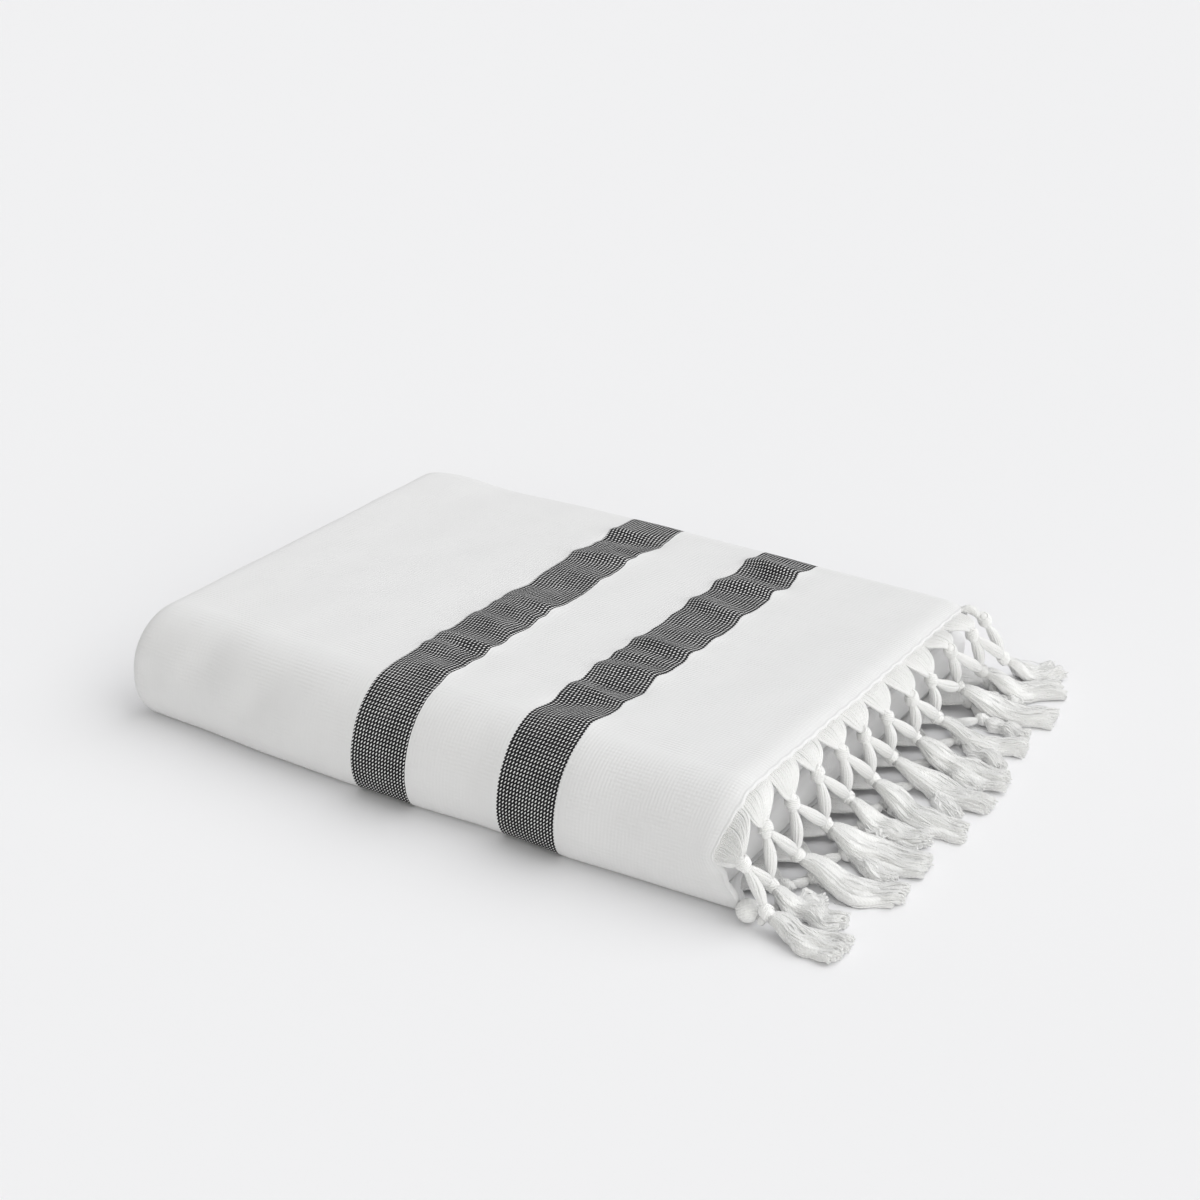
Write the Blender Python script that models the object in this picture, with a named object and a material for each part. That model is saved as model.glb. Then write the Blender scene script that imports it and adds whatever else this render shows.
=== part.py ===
"""Folded hammam towel: one long folded cloth and the knotted fringe along its end."""
import math

import bmesh
import bpy
import numpy as np

# Working axes, in metres: x runs along the front fold from the left end, y runs back from
# the front fold, z runs up from the table. The origin moves to BASE_CENTRE at the end.
EDGE_X = 0.4185            # fringed edge of the outermost layer
LEFT_TURN_X = 0.0150       # where the outer layer starts to turn down at the left
RIGHT_TURN_X = 0.4020      # where the inner layers turn back at the right
INNER_TURN_X = 0.0190
INNER_END_X = 0.3960       # the far end of the cloth, rolled inside
FRONT_HEIGHT = 0.0680      # at the full, soft front fold
BACK_HEIGHT = 0.0600       # at the tighter back fold
BACK_TURN_Y = 0.3147       # where the top panel starts to turn down at the back
BACK_TURN_REACH = 0.0183
BASE_CENTRE = (0.2100, 0.1660)

# Cloth and layers
SHEET = 0.0027
PANELS = 3
PANEL = BACK_HEIGHT / PANELS
INNER_LAYER = 0.0010 + SHEET / 2
LAYER_STEP = (PANEL - SHEET / 2 - INNER_LAYER) / 3
LAYER_B, LAYER_D, LAYER_C, LAYER_A = [INNER_LAYER + LAYER_STEP * k for k in range(4)]

# Front fold: the outer curve is a tall quarter ellipse over a short one, and the inner
# curve is a half ellipse
FOLD_TOP_REACH = 0.0364
FOLD_BOTTOM_REACH = 0.0083
FOLD_BULGE_HEIGHT = 0.0226
FOLD_INNER_Y = 0.0360
FOLD_INNER_REACH = 0.0150
FOLD_STEPS = 12

# Depths of the rows of faces on the three panels
BOTTOM_ROWS = (0.318, 0.245, 0.165, 0.085)
TOP_ROWS = (0.070, 0.115, 0.165, 0.215, 0.265)
MIDDLE_ROWS = (0.235, 0.150, 0.068)
BACK_STEPS = 6
# Points of each layer, as shares of its length
OUTER_RUN = (0.0, 0.045, 0.14, 0.30, 0.47, 0.65, 0.82, 0.94, 1.0)
INNER_RUN = (0.0, 0.12, 0.50, 0.88, 1.0)
END_RUN = (0.0, 0.15, 0.85, 1.0)

# Soft unevenness of the top: x, y, height, reach in x, reach in y
SWELLS = (
    (0.110, 0.100, 0.0012, 0.070, 0.060),
    (0.330, 0.190, -0.0016, 0.060, 0.070),
    (0.200, 0.250, 0.0011, 0.060, 0.040),
    (0.050, 0.240, -0.0010, 0.040, 0.060),
    (0.240, 0.055, 0.0010, 0.050, 0.030),
)
# Front fold's wavy line: x, shift in y
FRONT_WAVE = (
    (0.000, 0.0010), (0.050, 0.0000), (0.095, -0.0030), (0.150, -0.0040), (0.215, -0.0036),
    (0.255, -0.0010), (0.285, -0.0012), (0.320, -0.0030), (0.350, -0.0010), (0.420, 0.0020),
)
FRONT_WAVE_REACH = 0.040
LEFT_BULGE = 0.0045        # the front fold's left end stands out a little
LEFT_BULGE_REACH = 0.060
EDGE_DROOP = 0.0028        # the fringed edge hangs down past the layers under it
EDGE_DROOP_START = 0.4060
# Fringed edge round the front fold: turn angle in degrees, x
FRONT_EDGE = (
    (-90.0, 0.4090), (-30.0, 0.4115), (15.0, 0.4130), (40.0, 0.4115), (62.0, 0.4165), (90.0, 0.4185),
)

# Fringe
KNOT_REFERENCE = (0.31, 0.21, 0.93)    # any direction that no yarn follows
GAP = 0.0004               # between each fringe and the cloth
STRIP_WIDTH = 0.0028
STRIP_THICKNESS = 0.0022
ROOT_SHARE = 0.70          # of the strip's width, where tabs are rooted
FRINGE_SPLIT = 15.0        # turn angle on the front fold where one fringe ends
UPPER_TABS = 11
LOWER_TABS = 11
TAB_FILL = 0.93            # of each tab's pitch
TAB_GATHER = 0.0016        # between locks where they enter the knot
TAB_WIDTHS = (0.96, 0.88, 0.42)      # of a lock's share of the tab, root to knot
TAB_BEND = np.array([0.45, 0.34, 0.40])    # where a lock bends, as shares of its way
TAB_LIFT = np.array([0.0, 0.0, 0.0014])    # of a lock's bend over the straight way
TAB_THICKNESSES = (0.0014, 0.0026, 0.0034)
UPPER_TAB_LOCKS = (-1, 0, 1)
LOWER_TAB_LOCKS = (-0.5, 0.5)
KNOT_RADIUS = 0.0047
KNOT_LENGTH = 0.0054
KNOT_SIDES = 6
KNOT_RINGS = 4
KNOT_RIDGE = 0.14          # of the radius
KNOT_WRAPS = 6             # slanting ridges from pole to pole
KNOT_POLE = 0.12           # share of the half turn left flat at each end
STRAND_WIDTH = 0.0056
STRAND_THICKNESS = 0.0040
STRAND_TAPER = (0.65, 1.0, 0.65)
STRAND_BOW = np.array([0.0025, 0.0, 0.0])          # of a knot's own strand to its tie
STRAND_OUTER_BOW = np.array([0.0040, 0.0, -0.0015])  # of the next knot's strand over it
CORNER_STRAND_ROOT = 0.0025          # from the back end of the upper strip
LOWER_STRAND_BOW = np.array([0.0, 0.0, -0.0004])
UPPER_TASSEL_LOCKS = (-1, 0, 1)
LOWER_TASSEL_LOCKS = (-0.5, 0.5)
TASSEL_HEIGHT = 0.0050
TASSEL_ROOT = 0.0034
TASSEL_GATHER = 0.0012     # between locks where they leave the knot
LOCK_GAP = 0.0005          # between a tassel's locks at their ends

# Upper fringe from the back to the front: first knot, second knot, tassel tip, tip spread
UPPER_ROWS = (
    (0.4310, 0.325, 0.049, 0.4430, 0.334, 0.0210, 0.470, 0.368, 0.013),
    (0.4320, 0.303, 0.048, 0.4360, 0.314, 0.0190, 0.483, 0.344, 0.016),
    (0.4310, 0.271, 0.050, 0.4320, 0.285, 0.0195, 0.495, 0.305, 0.020),
    (0.4320, 0.241, 0.043, 0.4370, 0.243, 0.0175, 0.493, 0.257, 0.015),
    (0.4330, 0.211, 0.044, 0.4360, 0.214, 0.0170, 0.499, 0.214, 0.019),
    (0.4300, 0.182, 0.044, 0.4340, 0.184, 0.0170, 0.497, 0.181, 0.017),
    (0.4300, 0.151, 0.046, 0.4360, 0.154, 0.0170, 0.500, 0.149, 0.018),
    (0.4300, 0.121, 0.049, 0.4340, 0.125, 0.0185, 0.486, 0.123, 0.014),
    (0.4300, 0.091, 0.049, 0.4370, 0.092, 0.0180, 0.499, 0.097, 0.019),
    (0.4300, 0.060, 0.046, 0.4370, 0.056, 0.0165, 0.500, 0.063, 0.018),
    (0.4300, 0.029, 0.045, 0.4380, 0.023, 0.0150, 0.480, 0.026, 0.014),
    (0.4290, 0.006, 0.035, 0.4460, 0.000, 0.0125, 0.497, -0.005, 0.019),
)
# Height of a tassel's underside over the table along its length, as a share of the way
UPPER_FALL = ((0.22, 0.0114), (0.44, 0.0070), (0.62, 0.0), (1.0, 0.0))
LOWER_FALL = ((0.35, 0.0), (1.0, 0.0))

# Lower fringe: its two lines of knots run at these x
LOWER_KNOT_X = 0.4320
LOWER_TIE_X = 0.4510
LOWER_KNOT_Y = 0.009       # its first knot from the front
LOWER_KNOT_Z = 0.0047
LOWER_KNOT_SCALE = 0.86
# Its tassels from the front to the back: tip x, tip y, tip spread
LOWER_TIPS = (
    (0.461, 0.0435, 0.0085), (0.464, 0.061, 0.008), (0.484, 0.080, 0.010), (0.463, 0.117, 0.008),
    (0.464, 0.146, 0.008), (0.486, 0.165, 0.009), (0.484, 0.197, 0.009), (0.486, 0.233, 0.012),
    (0.484, 0.276, 0.014), (0.465, 0.313, 0.008),
)

# Colours
COTTON_WHITE = (0.80, 0.80, 0.79, 1.0)
YARN_WHITE = (0.84, 0.84, 0.82, 1.0)


def clear_scene():
    for item in list(bpy.data.objects):
        bpy.data.objects.remove(item, do_unlink=True)


def make_material(name, colour, roughness):
    material = bpy.data.materials.new(name)
    material.use_nodes = True
    shader = material.node_tree.nodes["Principled BSDF"]
    shader.inputs["Base Color"].default_value = colour
    shader.inputs["Roughness"].default_value = roughness
    shader.inputs["Metallic"].default_value = 0.0
    return material


def make_object(name, points, faces, material):
    """One closed mesh, moved so that the middle of its base is the origin."""
    mesh = bpy.data.meshes.new(name)
    placed = [(x - BASE_CENTRE[0], y - BASE_CENTRE[1], z) for x, y, z in points]
    mesh.from_pydata(placed, [], faces)
    work = bmesh.new()
    work.from_mesh(mesh)
    bmesh.ops.recalc_face_normals(work, faces=work.faces[:])
    work.to_mesh(mesh)
    work.free()
    mesh.shade_smooth()
    mesh.set_sharp_from_angle(angle=math.radians(50))
    mesh.materials.append(material)
    item = bpy.data.objects.new(name, mesh)
    bpy.context.scene.collection.objects.link(item)
    return item


# --- rows: how the stack of four layers runs through the three panels ---

def stack_height(y):
    """Height of the whole fold at depth y: it falls from the front fold to the back."""
    share = np.clip((y - FOLD_TOP_REACH) / (BACK_TURN_Y - FOLD_TOP_REACH), 0.0, 1.0)
    return FRONT_HEIGHT + (BACK_HEIGHT - FRONT_HEIGHT) * share


def panel_row(y, outer_share, inner_share):
    height = stack_height(y)
    return (y, height * outer_share, y, height * inner_share, EDGE_X, 0.0)


def front_row(angle):
    """One row round the front fold: -90 degrees at the bottom, 90 at the top."""
    turn = math.radians(angle)
    if angle < 0:
        reach, rise = FOLD_BOTTOM_REACH, FOLD_BULGE_HEIGHT
    else:
        reach, rise = FOLD_TOP_REACH, FRONT_HEIGHT - FOLD_BULGE_HEIGHT
    outer_y = reach * (1 - math.cos(turn))
    outer_z = FOLD_BULGE_HEIGHT + rise * math.sin(turn)
    inner_y = FOLD_INNER_Y - FOLD_INNER_REACH * math.cos(turn)
    inner_z = FRONT_HEIGHT * (0.5 + math.sin(turn) / (2 * PANELS))
    edge = np.interp(angle, [a for a, _ in FRONT_EDGE], [x for _, x in FRONT_EDGE])
    return (outer_y, outer_z, inner_y, inner_z, float(edge), math.cos(turn))


def back_row(step):
    """One row round the back fold, from the top panel down to the middle one."""
    turn = math.pi * step / BACK_STEPS
    outer_y = BACK_TURN_Y + BACK_TURN_REACH * math.sin(turn)
    outer_z = BACK_HEIGHT - PANEL + PANEL * math.cos(turn)
    return (outer_y, outer_z, BACK_TURN_Y, BACK_HEIGHT - PANEL, EDGE_X, 0.0)


def all_rows():
    """Rows from the bottom panel's selvedge to the middle panel's, inside the fold."""
    lower_edge = FRONT_EDGE[0][1]
    bottom = [panel_row(y, 0.0, 1 / PANELS)[:4] + (lower_edge, 0.0) for y in BOTTOM_ROWS]
    front = [front_row(-90 + 180 * k / FOLD_STEPS) for k in range(FOLD_STEPS + 1)]
    top = [panel_row(y, 1.0, 2 / PANELS) for y in TOP_ROWS]
    back = [back_row(k) for k in range(BACK_STEPS + 1)]
    middle = [panel_row(y, 1 / PANELS, 2 / PANELS) for y in MIDDLE_ROWS]
    return np.array(bottom + front + top + back + middle)


ROWS = all_rows()
FRONT_START = len(BOTTOM_ROWS)
BACK_START = FRONT_START + FOLD_STEPS + 1 + len(TOP_ROWS)
SPLIT_ROW = FRONT_START + int(round((FRINGE_SPLIT + 90) / 180 * FOLD_STEPS))


# --- shape of the cloth between the rows ---

def soften(x, y, z, fold):
    """Soft swells of the top, the front fold's wavy line and its fuller left end."""
    rise = np.zeros_like(x)
    for centre_x, centre_y, height, reach_x, reach_y in SWELLS:
        rise += height * np.exp(-((x - centre_x) / reach_x) ** 2 - ((y - centre_y) / reach_y) ** 2)
    wave = np.interp(x, [a for a, _ in FRONT_WAVE], [b for _, b in FRONT_WAVE])
    left = np.clip(1 - x / LEFT_BULGE_REACH, 0.0, 1.0)
    new_x = x - LEFT_BULGE * left * fold
    new_y = y + wave * np.exp(-(y / FRONT_WAVE_REACH) ** 2)
    return new_x, new_y, z * (1 + rise / FRONT_HEIGHT)


def place(x, depth, row, droop=True):
    """Point at x, at a depth from the inner side of the four layers, on one row."""
    outer_y, outer_z, inner_y, inner_z, _, fold = row
    x = np.asarray(x, dtype=float)
    depth = np.asarray(depth, dtype=float)
    if droop and outer_z > PANEL:
        past = np.clip((x - EDGE_DROOP_START) / (EDGE_X - EDGE_DROOP_START), 0.0, 1.5)
        depth = depth - EDGE_DROOP * past ** 1.5 * (depth > LAYER_C)
    share = depth / PANEL
    y = inner_y + (outer_y - inner_y) * share
    z = inner_z + (outer_z - inner_z) * share
    return np.stack(soften(x, y, z, fold), axis=-1)


def straight(x_from, x_to, layer, shares):
    return [(x_from + (x_to - x_from) * s, layer) for s in shares]


def half_turn(x, layer_from, layer_to, reach, steps):
    """Half ellipse between two layers, without its first and last points."""
    middle = (layer_from + layer_to) / 2
    half = (layer_from - layer_to) / 2
    turns = [math.pi * k / steps for k in range(1, steps)]
    return [(x + reach * math.sin(t), middle + half * math.cos(t)) for t in turns]


def layer_line(edge_x):
    """Middle line of the cloth through its four layers, from the fringed edge inwards."""
    line = straight(edge_x, LEFT_TURN_X, LAYER_A, OUTER_RUN)
    line += half_turn(LEFT_TURN_X, LAYER_A, LAYER_B, -(LEFT_TURN_X - SHEET / 2), 8)
    line += straight(LEFT_TURN_X, RIGHT_TURN_X, LAYER_B, INNER_RUN)
    line += half_turn(RIGHT_TURN_X, LAYER_B, LAYER_C, LAYER_STEP, 6)
    line += straight(RIGHT_TURN_X, INNER_TURN_X, LAYER_C, INNER_RUN)
    line += half_turn(INNER_TURN_X, LAYER_C, LAYER_D, -LAYER_STEP / 2, 4)
    line += straight(INNER_TURN_X, INNER_END_X, LAYER_D, END_RUN)
    return np.array(line)


def thicken(line, thickness):
    """Closed outline at half the thickness to each side of a line."""
    along = np.gradient(line, axis=0)
    along /= np.linalg.norm(along, axis=1, keepdims=True)
    normal = np.stack([-along[:, 1], along[:, 0]], axis=1)
    offset = normal * thickness / 2
    return np.concatenate([line + offset, (line - offset)[::-1]])


def tube_faces(rows, count):
    """Quads between closed rings of count points each, without ends."""
    faces = []
    for i in range(rows - 1):
        for j in range(count):
            k = (j + 1) % count
            faces.append((i * count + j, i * count + k, (i + 1) * count + k, (i + 1) * count + j))
    return faces


def make_cloth(material):
    rings = []
    for row in ROWS:
        outline = thicken(layer_line(row[4]), SHEET)
        rings.append(place(outline[:, 0], outline[:, 1], row))
    count = len(rings[0])
    faces = tube_faces(len(rings), count)
    for start in (0, (len(rings) - 1) * count):
        for i in range(count // 2 - 1):
            across = count - 1 - i
            faces.append((start + i, start + i + 1, start + across - 1, start + across))
    return make_object("towel_cloth", np.concatenate(rings), faces, material)


# --- fringe ---

class Shells:
    """Closed shells that overlap and are fused into one body."""

    def __init__(self):
        self.points = []
        self.faces = []

    def add(self, rings):
        """Rings of equal count, closed by a flat face at each end."""
        count = len(rings[0])
        start = len(self.points)
        for ring in rings:
            self.points.extend(tuple(p) for p in ring)
        for face in tube_faces(len(rings), count):
            self.faces.append(tuple(start + i for i in face))
        last = start + (len(rings) - 1) * count
        self.faces.append(tuple(start + i for i in range(count))[::-1])
        self.faces.append(tuple(last + i for i in range(count)))


def edge_line(first, last):
    """Line along a strip where its tabs are rooted, one point for each row."""
    points = []
    for row in ROWS[first:last]:
        x = row[4] + GAP + STRIP_WIDTH * ROOT_SHARE
        points.append(place(x, LAYER_A, row))
    return np.array(points)


def strip_rings(first, last):
    rings = []
    for row in ROWS[first:last]:
        near = row[4] + GAP
        far = near + STRIP_WIDTH
        low = LAYER_A - STRIP_THICKNESS / 2
        high = LAYER_A + STRIP_THICKNESS / 2
        rings.append(place([near, far, far, near], [low, low, high, high], row))
    return rings


def along_line(line, distance):
    """Point and direction at a distance along a line of points."""
    steps = np.linalg.norm(np.diff(line, axis=0), axis=1)
    reach = np.concatenate([[0.0], np.cumsum(steps)])
    distance = min(max(distance, 0.0), reach[-1])
    point = np.array([np.interp(distance, reach, line[:, k]) for k in range(3)])
    index = min(int(np.searchsorted(reach, distance, side="right")) - 1, len(steps) - 1)
    return point, (line[index + 1] - line[index]) / steps[index]


def unit(vector):
    return vector / np.linalg.norm(vector)


def lock_rings(centres, side, widths, thicknesses, first_way=None):
    """Four-sided lock along its centres, as wide as given along side."""
    centres = np.array(centres)
    along = np.gradient(centres, axis=0)
    if first_way is not None:
        along[0] = first_way
    rings = []
    for centre, forward, width, thickness in zip(centres, along, widths, thicknesses):
        forward = unit(forward)
        across = unit(side - forward * np.dot(side, forward))
        up = np.cross(across, forward)
        a = across * width / 2
        b = up * thickness / 2
        rings.append([centre - a - b, centre + a - b, centre + 0.8 * a + b, centre - 0.8 * a + b])
    return rings


def knot_rings(centre, axis, radius, length, turn):
    """Ball drawn out along its axis, with slanting ridges where the yarn wraps."""
    axis = unit(axis)
    first = unit(np.cross(axis, KNOT_REFERENCE))
    second = np.cross(axis, first)
    angles = 2 * math.pi * np.arange(KNOT_SIDES) / KNOT_SIDES
    rings = []
    for k in range(KNOT_RINGS + 1):
        polar = math.pi * (KNOT_POLE + (1 - 2 * KNOT_POLE) * k / KNOT_RINGS)
        ridge = 1 + KNOT_RIDGE * np.sin(KNOT_WRAPS * polar + angles + turn)
        spread = radius * ridge * math.sin(polar)
        middle = centre - axis * length * math.cos(polar)
        across = np.outer(spread * np.cos(angles), first)
        rings.append(middle + across + np.outer(spread * np.sin(angles), second))
    return rings


def add_knot(shells, centre, axis, turn, scale=1.0):
    shells.add(knot_rings(centre, axis, KNOT_RADIUS * scale, KNOT_LENGTH * scale, turn))


def add_tab(shells, line, middle, pitch, knot, locks, bulge):
    """Fan of flat locks from the strip to the tab's knot."""
    width = pitch * TAB_FILL / len(locks)
    for lock in locks:
        root, tangent = along_line(line, middle + lock * width)
        end = knot + tangent * TAB_GATHER * lock
        middle_point = root + (end - root) * TAB_BEND + bulge
        centres = [root, middle_point, end]
        widths = [width * share for share in TAB_WIDTHS]
        outward = np.array([1.0, 0.0, 0.0])
        shells.add(lock_rings(centres, tangent, widths, TAB_THICKNESSES, outward))


def add_strand(shells, start, end, bow):
    """Bundle of yarn from a first knot to a second one, bowed out a little."""
    centres = [start, (start + end) / 2 + bow, end]
    side = np.cross(end - start, [1.0, 0.0, 0.15])
    widths = [STRAND_WIDTH * s for s in STRAND_TAPER]
    thicknesses = [STRAND_THICKNESS * s for s in STRAND_TAPER]
    shells.add(lock_rings(centres, side, widths, thicknesses))


def add_tassel(shells, knot, tip, spread, locks, fall):
    """Locks that fall from a knot, splay, and lie level on the table to a blunt end."""
    knot = np.array(knot)
    tip = np.array([tip[0], tip[1], 0.0])
    way = tip - knot
    way[2] = 0.0
    side = unit(np.array([-way[1], way[0], 0.0]))
    width = spread / len(locks)
    for lock in locks:
        root = knot + side * lock * TASSEL_GATHER
        rings = [tassel_ring(root, side, TASSEL_ROOT, knot[2] - TASSEL_ROOT / 2, TASSEL_ROOT)]
        for share, base in fall:
            splay = lock * width * (0.35 + 0.65 * share)
            centre = knot + way * share + side * splay
            wide = (width - LOCK_GAP) * (0.55 + 0.45 * share)
            rings.append(tassel_ring(centre, side, wide, base, TASSEL_HEIGHT * (0.9 - 0.25 * share)))
        shells.add(rings)


def tassel_ring(centre, side, width, base, height):
    """Level four-sided section, flat underneath and narrower on top."""
    low = np.array([centre[0], centre[1], base])
    high = np.array([centre[0], centre[1], base + height])
    half = side * width / 2
    return [low - half, low + half, high + 0.7 * half, high - 0.7 * half]


def fuse(name, rings, shells, material):
    """Union of the backing strip and all shells that grow from it."""
    strip = Shells()
    strip.add(rings)
    body = make_object(name, strip.points, strip.faces, material)
    grown = make_object(name + "_shells", shells.points, shells.faces, material)
    grown.hide_render = True
    grown.display_type = 'WIRE'
    union = body.modifiers.new("Fuse", 'BOOLEAN')
    union.operation = 'UNION'
    union.solver = 'EXACT'
    union.use_self = True
    union.object = grown
    return body


def make_upper_fringe(material):
    first, last = SPLIT_ROW + 1, BACK_START + 1
    line = edge_line(first, last)[::-1]
    total = np.linalg.norm(np.diff(line, axis=0), axis=1).sum()
    pitch = total / UPPER_TABS
    shells = Shells()
    rows = np.array(UPPER_ROWS)
    knots, ties, tips = rows[:, 0:3], rows[:, 3:6], rows[:, 6:8]
    for i in range(len(rows)):
        below = ties[i] - knots[i]
        add_knot(shells, knots[i], below, turn=1.7 * i)
        add_strand(shells, knots[i], ties[i], STRAND_BOW)
        if i + 1 < len(rows):
            add_strand(shells, knots[i + 1], ties[i], STRAND_OUTER_BOW)
        way = np.array([tips[i][0] - ties[i][0], tips[i][1] - ties[i][1], -ties[i][2]])
        add_knot(shells, ties[i], way, turn=2.3 * i + 1)
        add_tassel(shells, ties[i], tips[i], rows[i, 8], UPPER_TASSEL_LOCKS, UPPER_FALL)
    corner, _ = along_line(line, CORNER_STRAND_ROOT)
    add_strand(shells, corner, knots[0], STRAND_BOW)
    for i in range(UPPER_TABS):
        add_tab(shells, line, pitch * (i + 0.5), pitch, knots[i + 1], UPPER_TAB_LOCKS, TAB_LIFT)
    return fuse("fringe_upper", strip_rings(first, last), shells, material)


def make_lower_fringe(material):
    line = edge_line(0, SPLIT_ROW + 1)[::-1]
    total = np.linalg.norm(np.diff(line, axis=0), axis=1).sum()
    pitch = total / LOWER_TABS
    shells = Shells()
    knots = []
    for i in range(LOWER_TABS):
        middle = pitch * (i + 0.5)
        root, _ = along_line(line, middle)
        knot = np.array([LOWER_KNOT_X, max(root[1], LOWER_KNOT_Y), LOWER_KNOT_Z])
        add_tab(shells, line, middle, pitch, knot, LOWER_TAB_LOCKS, TAB_LIFT)
        add_knot(shells, knot, np.array([1.0, 0.1, 0.0]), turn=1.9 * i, scale=LOWER_KNOT_SCALE)
        knots.append(knot)
    for i, (tip_x, tip_y, spread) in enumerate(LOWER_TIPS):
        tie = (knots[i] + knots[i + 1]) / 2
        tie[0] = LOWER_TIE_X
        for knot in (knots[i], knots[i + 1]):
            add_strand(shells, knot, tie, LOWER_STRAND_BOW)
        add_knot(shells, tie, np.array([1.0, 0.0, 0.0]), turn=2.1 * i, scale=LOWER_KNOT_SCALE)
        add_tassel(shells, tie, (tip_x, tip_y), spread, LOWER_TASSEL_LOCKS, LOWER_FALL)
    return fuse("fringe_lower", strip_rings(0, SPLIT_ROW + 1), shells, material)


def main():
    clear_scene()
    cotton = make_material("white_cotton_cloth", COTTON_WHITE, 0.92)
    yarn = make_material("white_fringe_yarn", YARN_WHITE, 0.88)
    make_cloth(cotton)
    make_upper_fringe(yarn)
    make_lower_fringe(yarn)


main()
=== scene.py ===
import math

import bpy
import numpy as np
from mathutils import Matrix


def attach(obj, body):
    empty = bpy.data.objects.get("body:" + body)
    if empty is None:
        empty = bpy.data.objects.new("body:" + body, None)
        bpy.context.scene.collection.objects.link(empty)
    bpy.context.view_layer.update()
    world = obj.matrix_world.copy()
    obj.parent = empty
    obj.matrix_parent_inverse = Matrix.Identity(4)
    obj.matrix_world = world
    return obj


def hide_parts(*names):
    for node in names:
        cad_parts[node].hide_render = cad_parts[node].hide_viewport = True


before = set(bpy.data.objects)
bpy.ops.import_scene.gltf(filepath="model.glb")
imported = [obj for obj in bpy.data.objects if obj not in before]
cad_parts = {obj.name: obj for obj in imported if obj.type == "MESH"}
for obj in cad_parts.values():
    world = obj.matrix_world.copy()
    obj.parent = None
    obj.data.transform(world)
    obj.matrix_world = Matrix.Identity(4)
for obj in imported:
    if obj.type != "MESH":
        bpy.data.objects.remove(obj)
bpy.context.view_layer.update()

# Everything is in metres. The working numbers count x along the front fold from the left
# end, y back from the front fold and z up from the floor; the frame's origin is here:
baseCentre = np.array([0.2100, 0.1660, 0.0])
uvName = "clothUV"      # every piece's UV map


class Wire:
    # A node's output socket. Sums, differences and products of wires add Math nodes.
    def __init__(self, maker, socket):
        self.maker = maker
        self.socket = socket

    def math(self, operation, *others):
        return self.maker.node("ShaderNodeMath", {"operation": operation}, [self, *others])

    def __add__(self, other):
        return self.math("ADD", other)

    def __sub__(self, other):
        return self.math("SUBTRACT", other)

    def __rsub__(self, other):
        return self.maker.node("ShaderNodeMath", {"operation": "SUBTRACT"}, [other, self])

    def __mul__(self, other):
        return self.math("MULTIPLY", other)

    __radd__ = __add__
    __rmul__ = __mul__


class Maker:
    # The node tree of a material or a world. node() makes any node: settings first, then
    # its sockets, given in order as a list or by name as a dictionary.
    def __init__(self, owner):
        owner.use_nodes = True
        self.owner = owner
        self.tree = owner.node_tree
        self.tree.nodes.clear()

    def node(self, kind, settings=None, values=(), output=0):
        made = self.tree.nodes.new(kind)
        for key, value in (settings or {}).items():
            setattr(made, key, value)
        pairs = values.items() if isinstance(values, dict) else enumerate(values)
        for key, value in pairs:
            if isinstance(value, Wire):
                self.tree.links.new(value.socket, made.inputs[key])
            else:
                made.inputs[key].default_value = value
        return Wire(self, made.outputs[output]) if made.outputs else None

    def split(self, place, *numbers):
        # Single coordinates of a place: 0 is x, 1 is y and 2 is z
        return [self.node("ShaderNodeSeparateXYZ", None, [place], k) for k in numbers]

    def smooth(self, value, low, high):
        # 0 below low, 1 above high and a soft step between
        return self.node("ShaderNodeMapRange", {"interpolation_type": "SMOOTHSTEP"},
                         {"Value": value, "From Min": low, "From Max": high})

    def noise(self, kind, place, scale, detail):
        # Cloudy noise about 0.5; the 1D kind runs along a single coordinate
        socket = "W" if kind == "1D" else "Vector"
        return self.node("ShaderNodeTexNoise", {"noise_dimensions": kind},
                         {socket: place, "Scale": scale, "Detail": detail})

    def mix(self, factor, first, second):
        # A colour between two; the Mix node's colour sockets are numbers 6 and 7
        return self.node("ShaderNodeMix", {"data_type": "RGBA"},
                         {0: factor, 6: first, 7: second}, 2)

    def finish(self, colour, height, look):
        # A matt, slightly fuzzy surface with a bump of the height that is given
        bump = self.node("ShaderNodeBump", None,
                         {"Strength": 1.0, "Distance": look["bump"], "Height": height})
        shader = self.node("ShaderNodeBsdfPrincipled", None, {
            "Base Color": colour, "Roughness": look["roughness"], "Normal": bump,
            "Sheen Weight": look["sheen"], "Sheen Roughness": 0.5, "Specular IOR Level": 0.2})
        self.node("ShaderNodeOutputMaterial", None, {"Surface": shader})
        return self.owner


def ease(value, low, high):
    # 0 up to low, 1 from high and the smooth step 3t^2 - 2t^3 between.
    t = np.clip((value - low) / (high - low), 0, 1)
    return t * t * (3 - 2 * t)


def bell(away, reach):
    # 1 in the middle, falling off as e to the minus square of away over reach.
    return np.exp(-(away / reach) ** 2)


def smoothNoise(x, y, seed, size):
    # Mean of five sine waves in random directions, each about size metres long.
    waves = 5
    draw = np.random.default_rng(seed)
    total = np.zeros(np.broadcast(x, y).shape)
    for _ in range(waves):
        angle, phase = draw.uniform(0, math.tau, 2)
        wave = math.tau / (size * draw.uniform(0.7, 1.5))
        total += np.sin(wave * (x * math.cos(angle) + y * math.sin(angle)) + phase)
    return total / waves


def newObject(name, data):
    # An object at the origin, linked into the scene.
    made = bpy.data.objects.new(name, data)
    bpy.context.scene.collection.objects.link(made)
    return made


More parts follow.
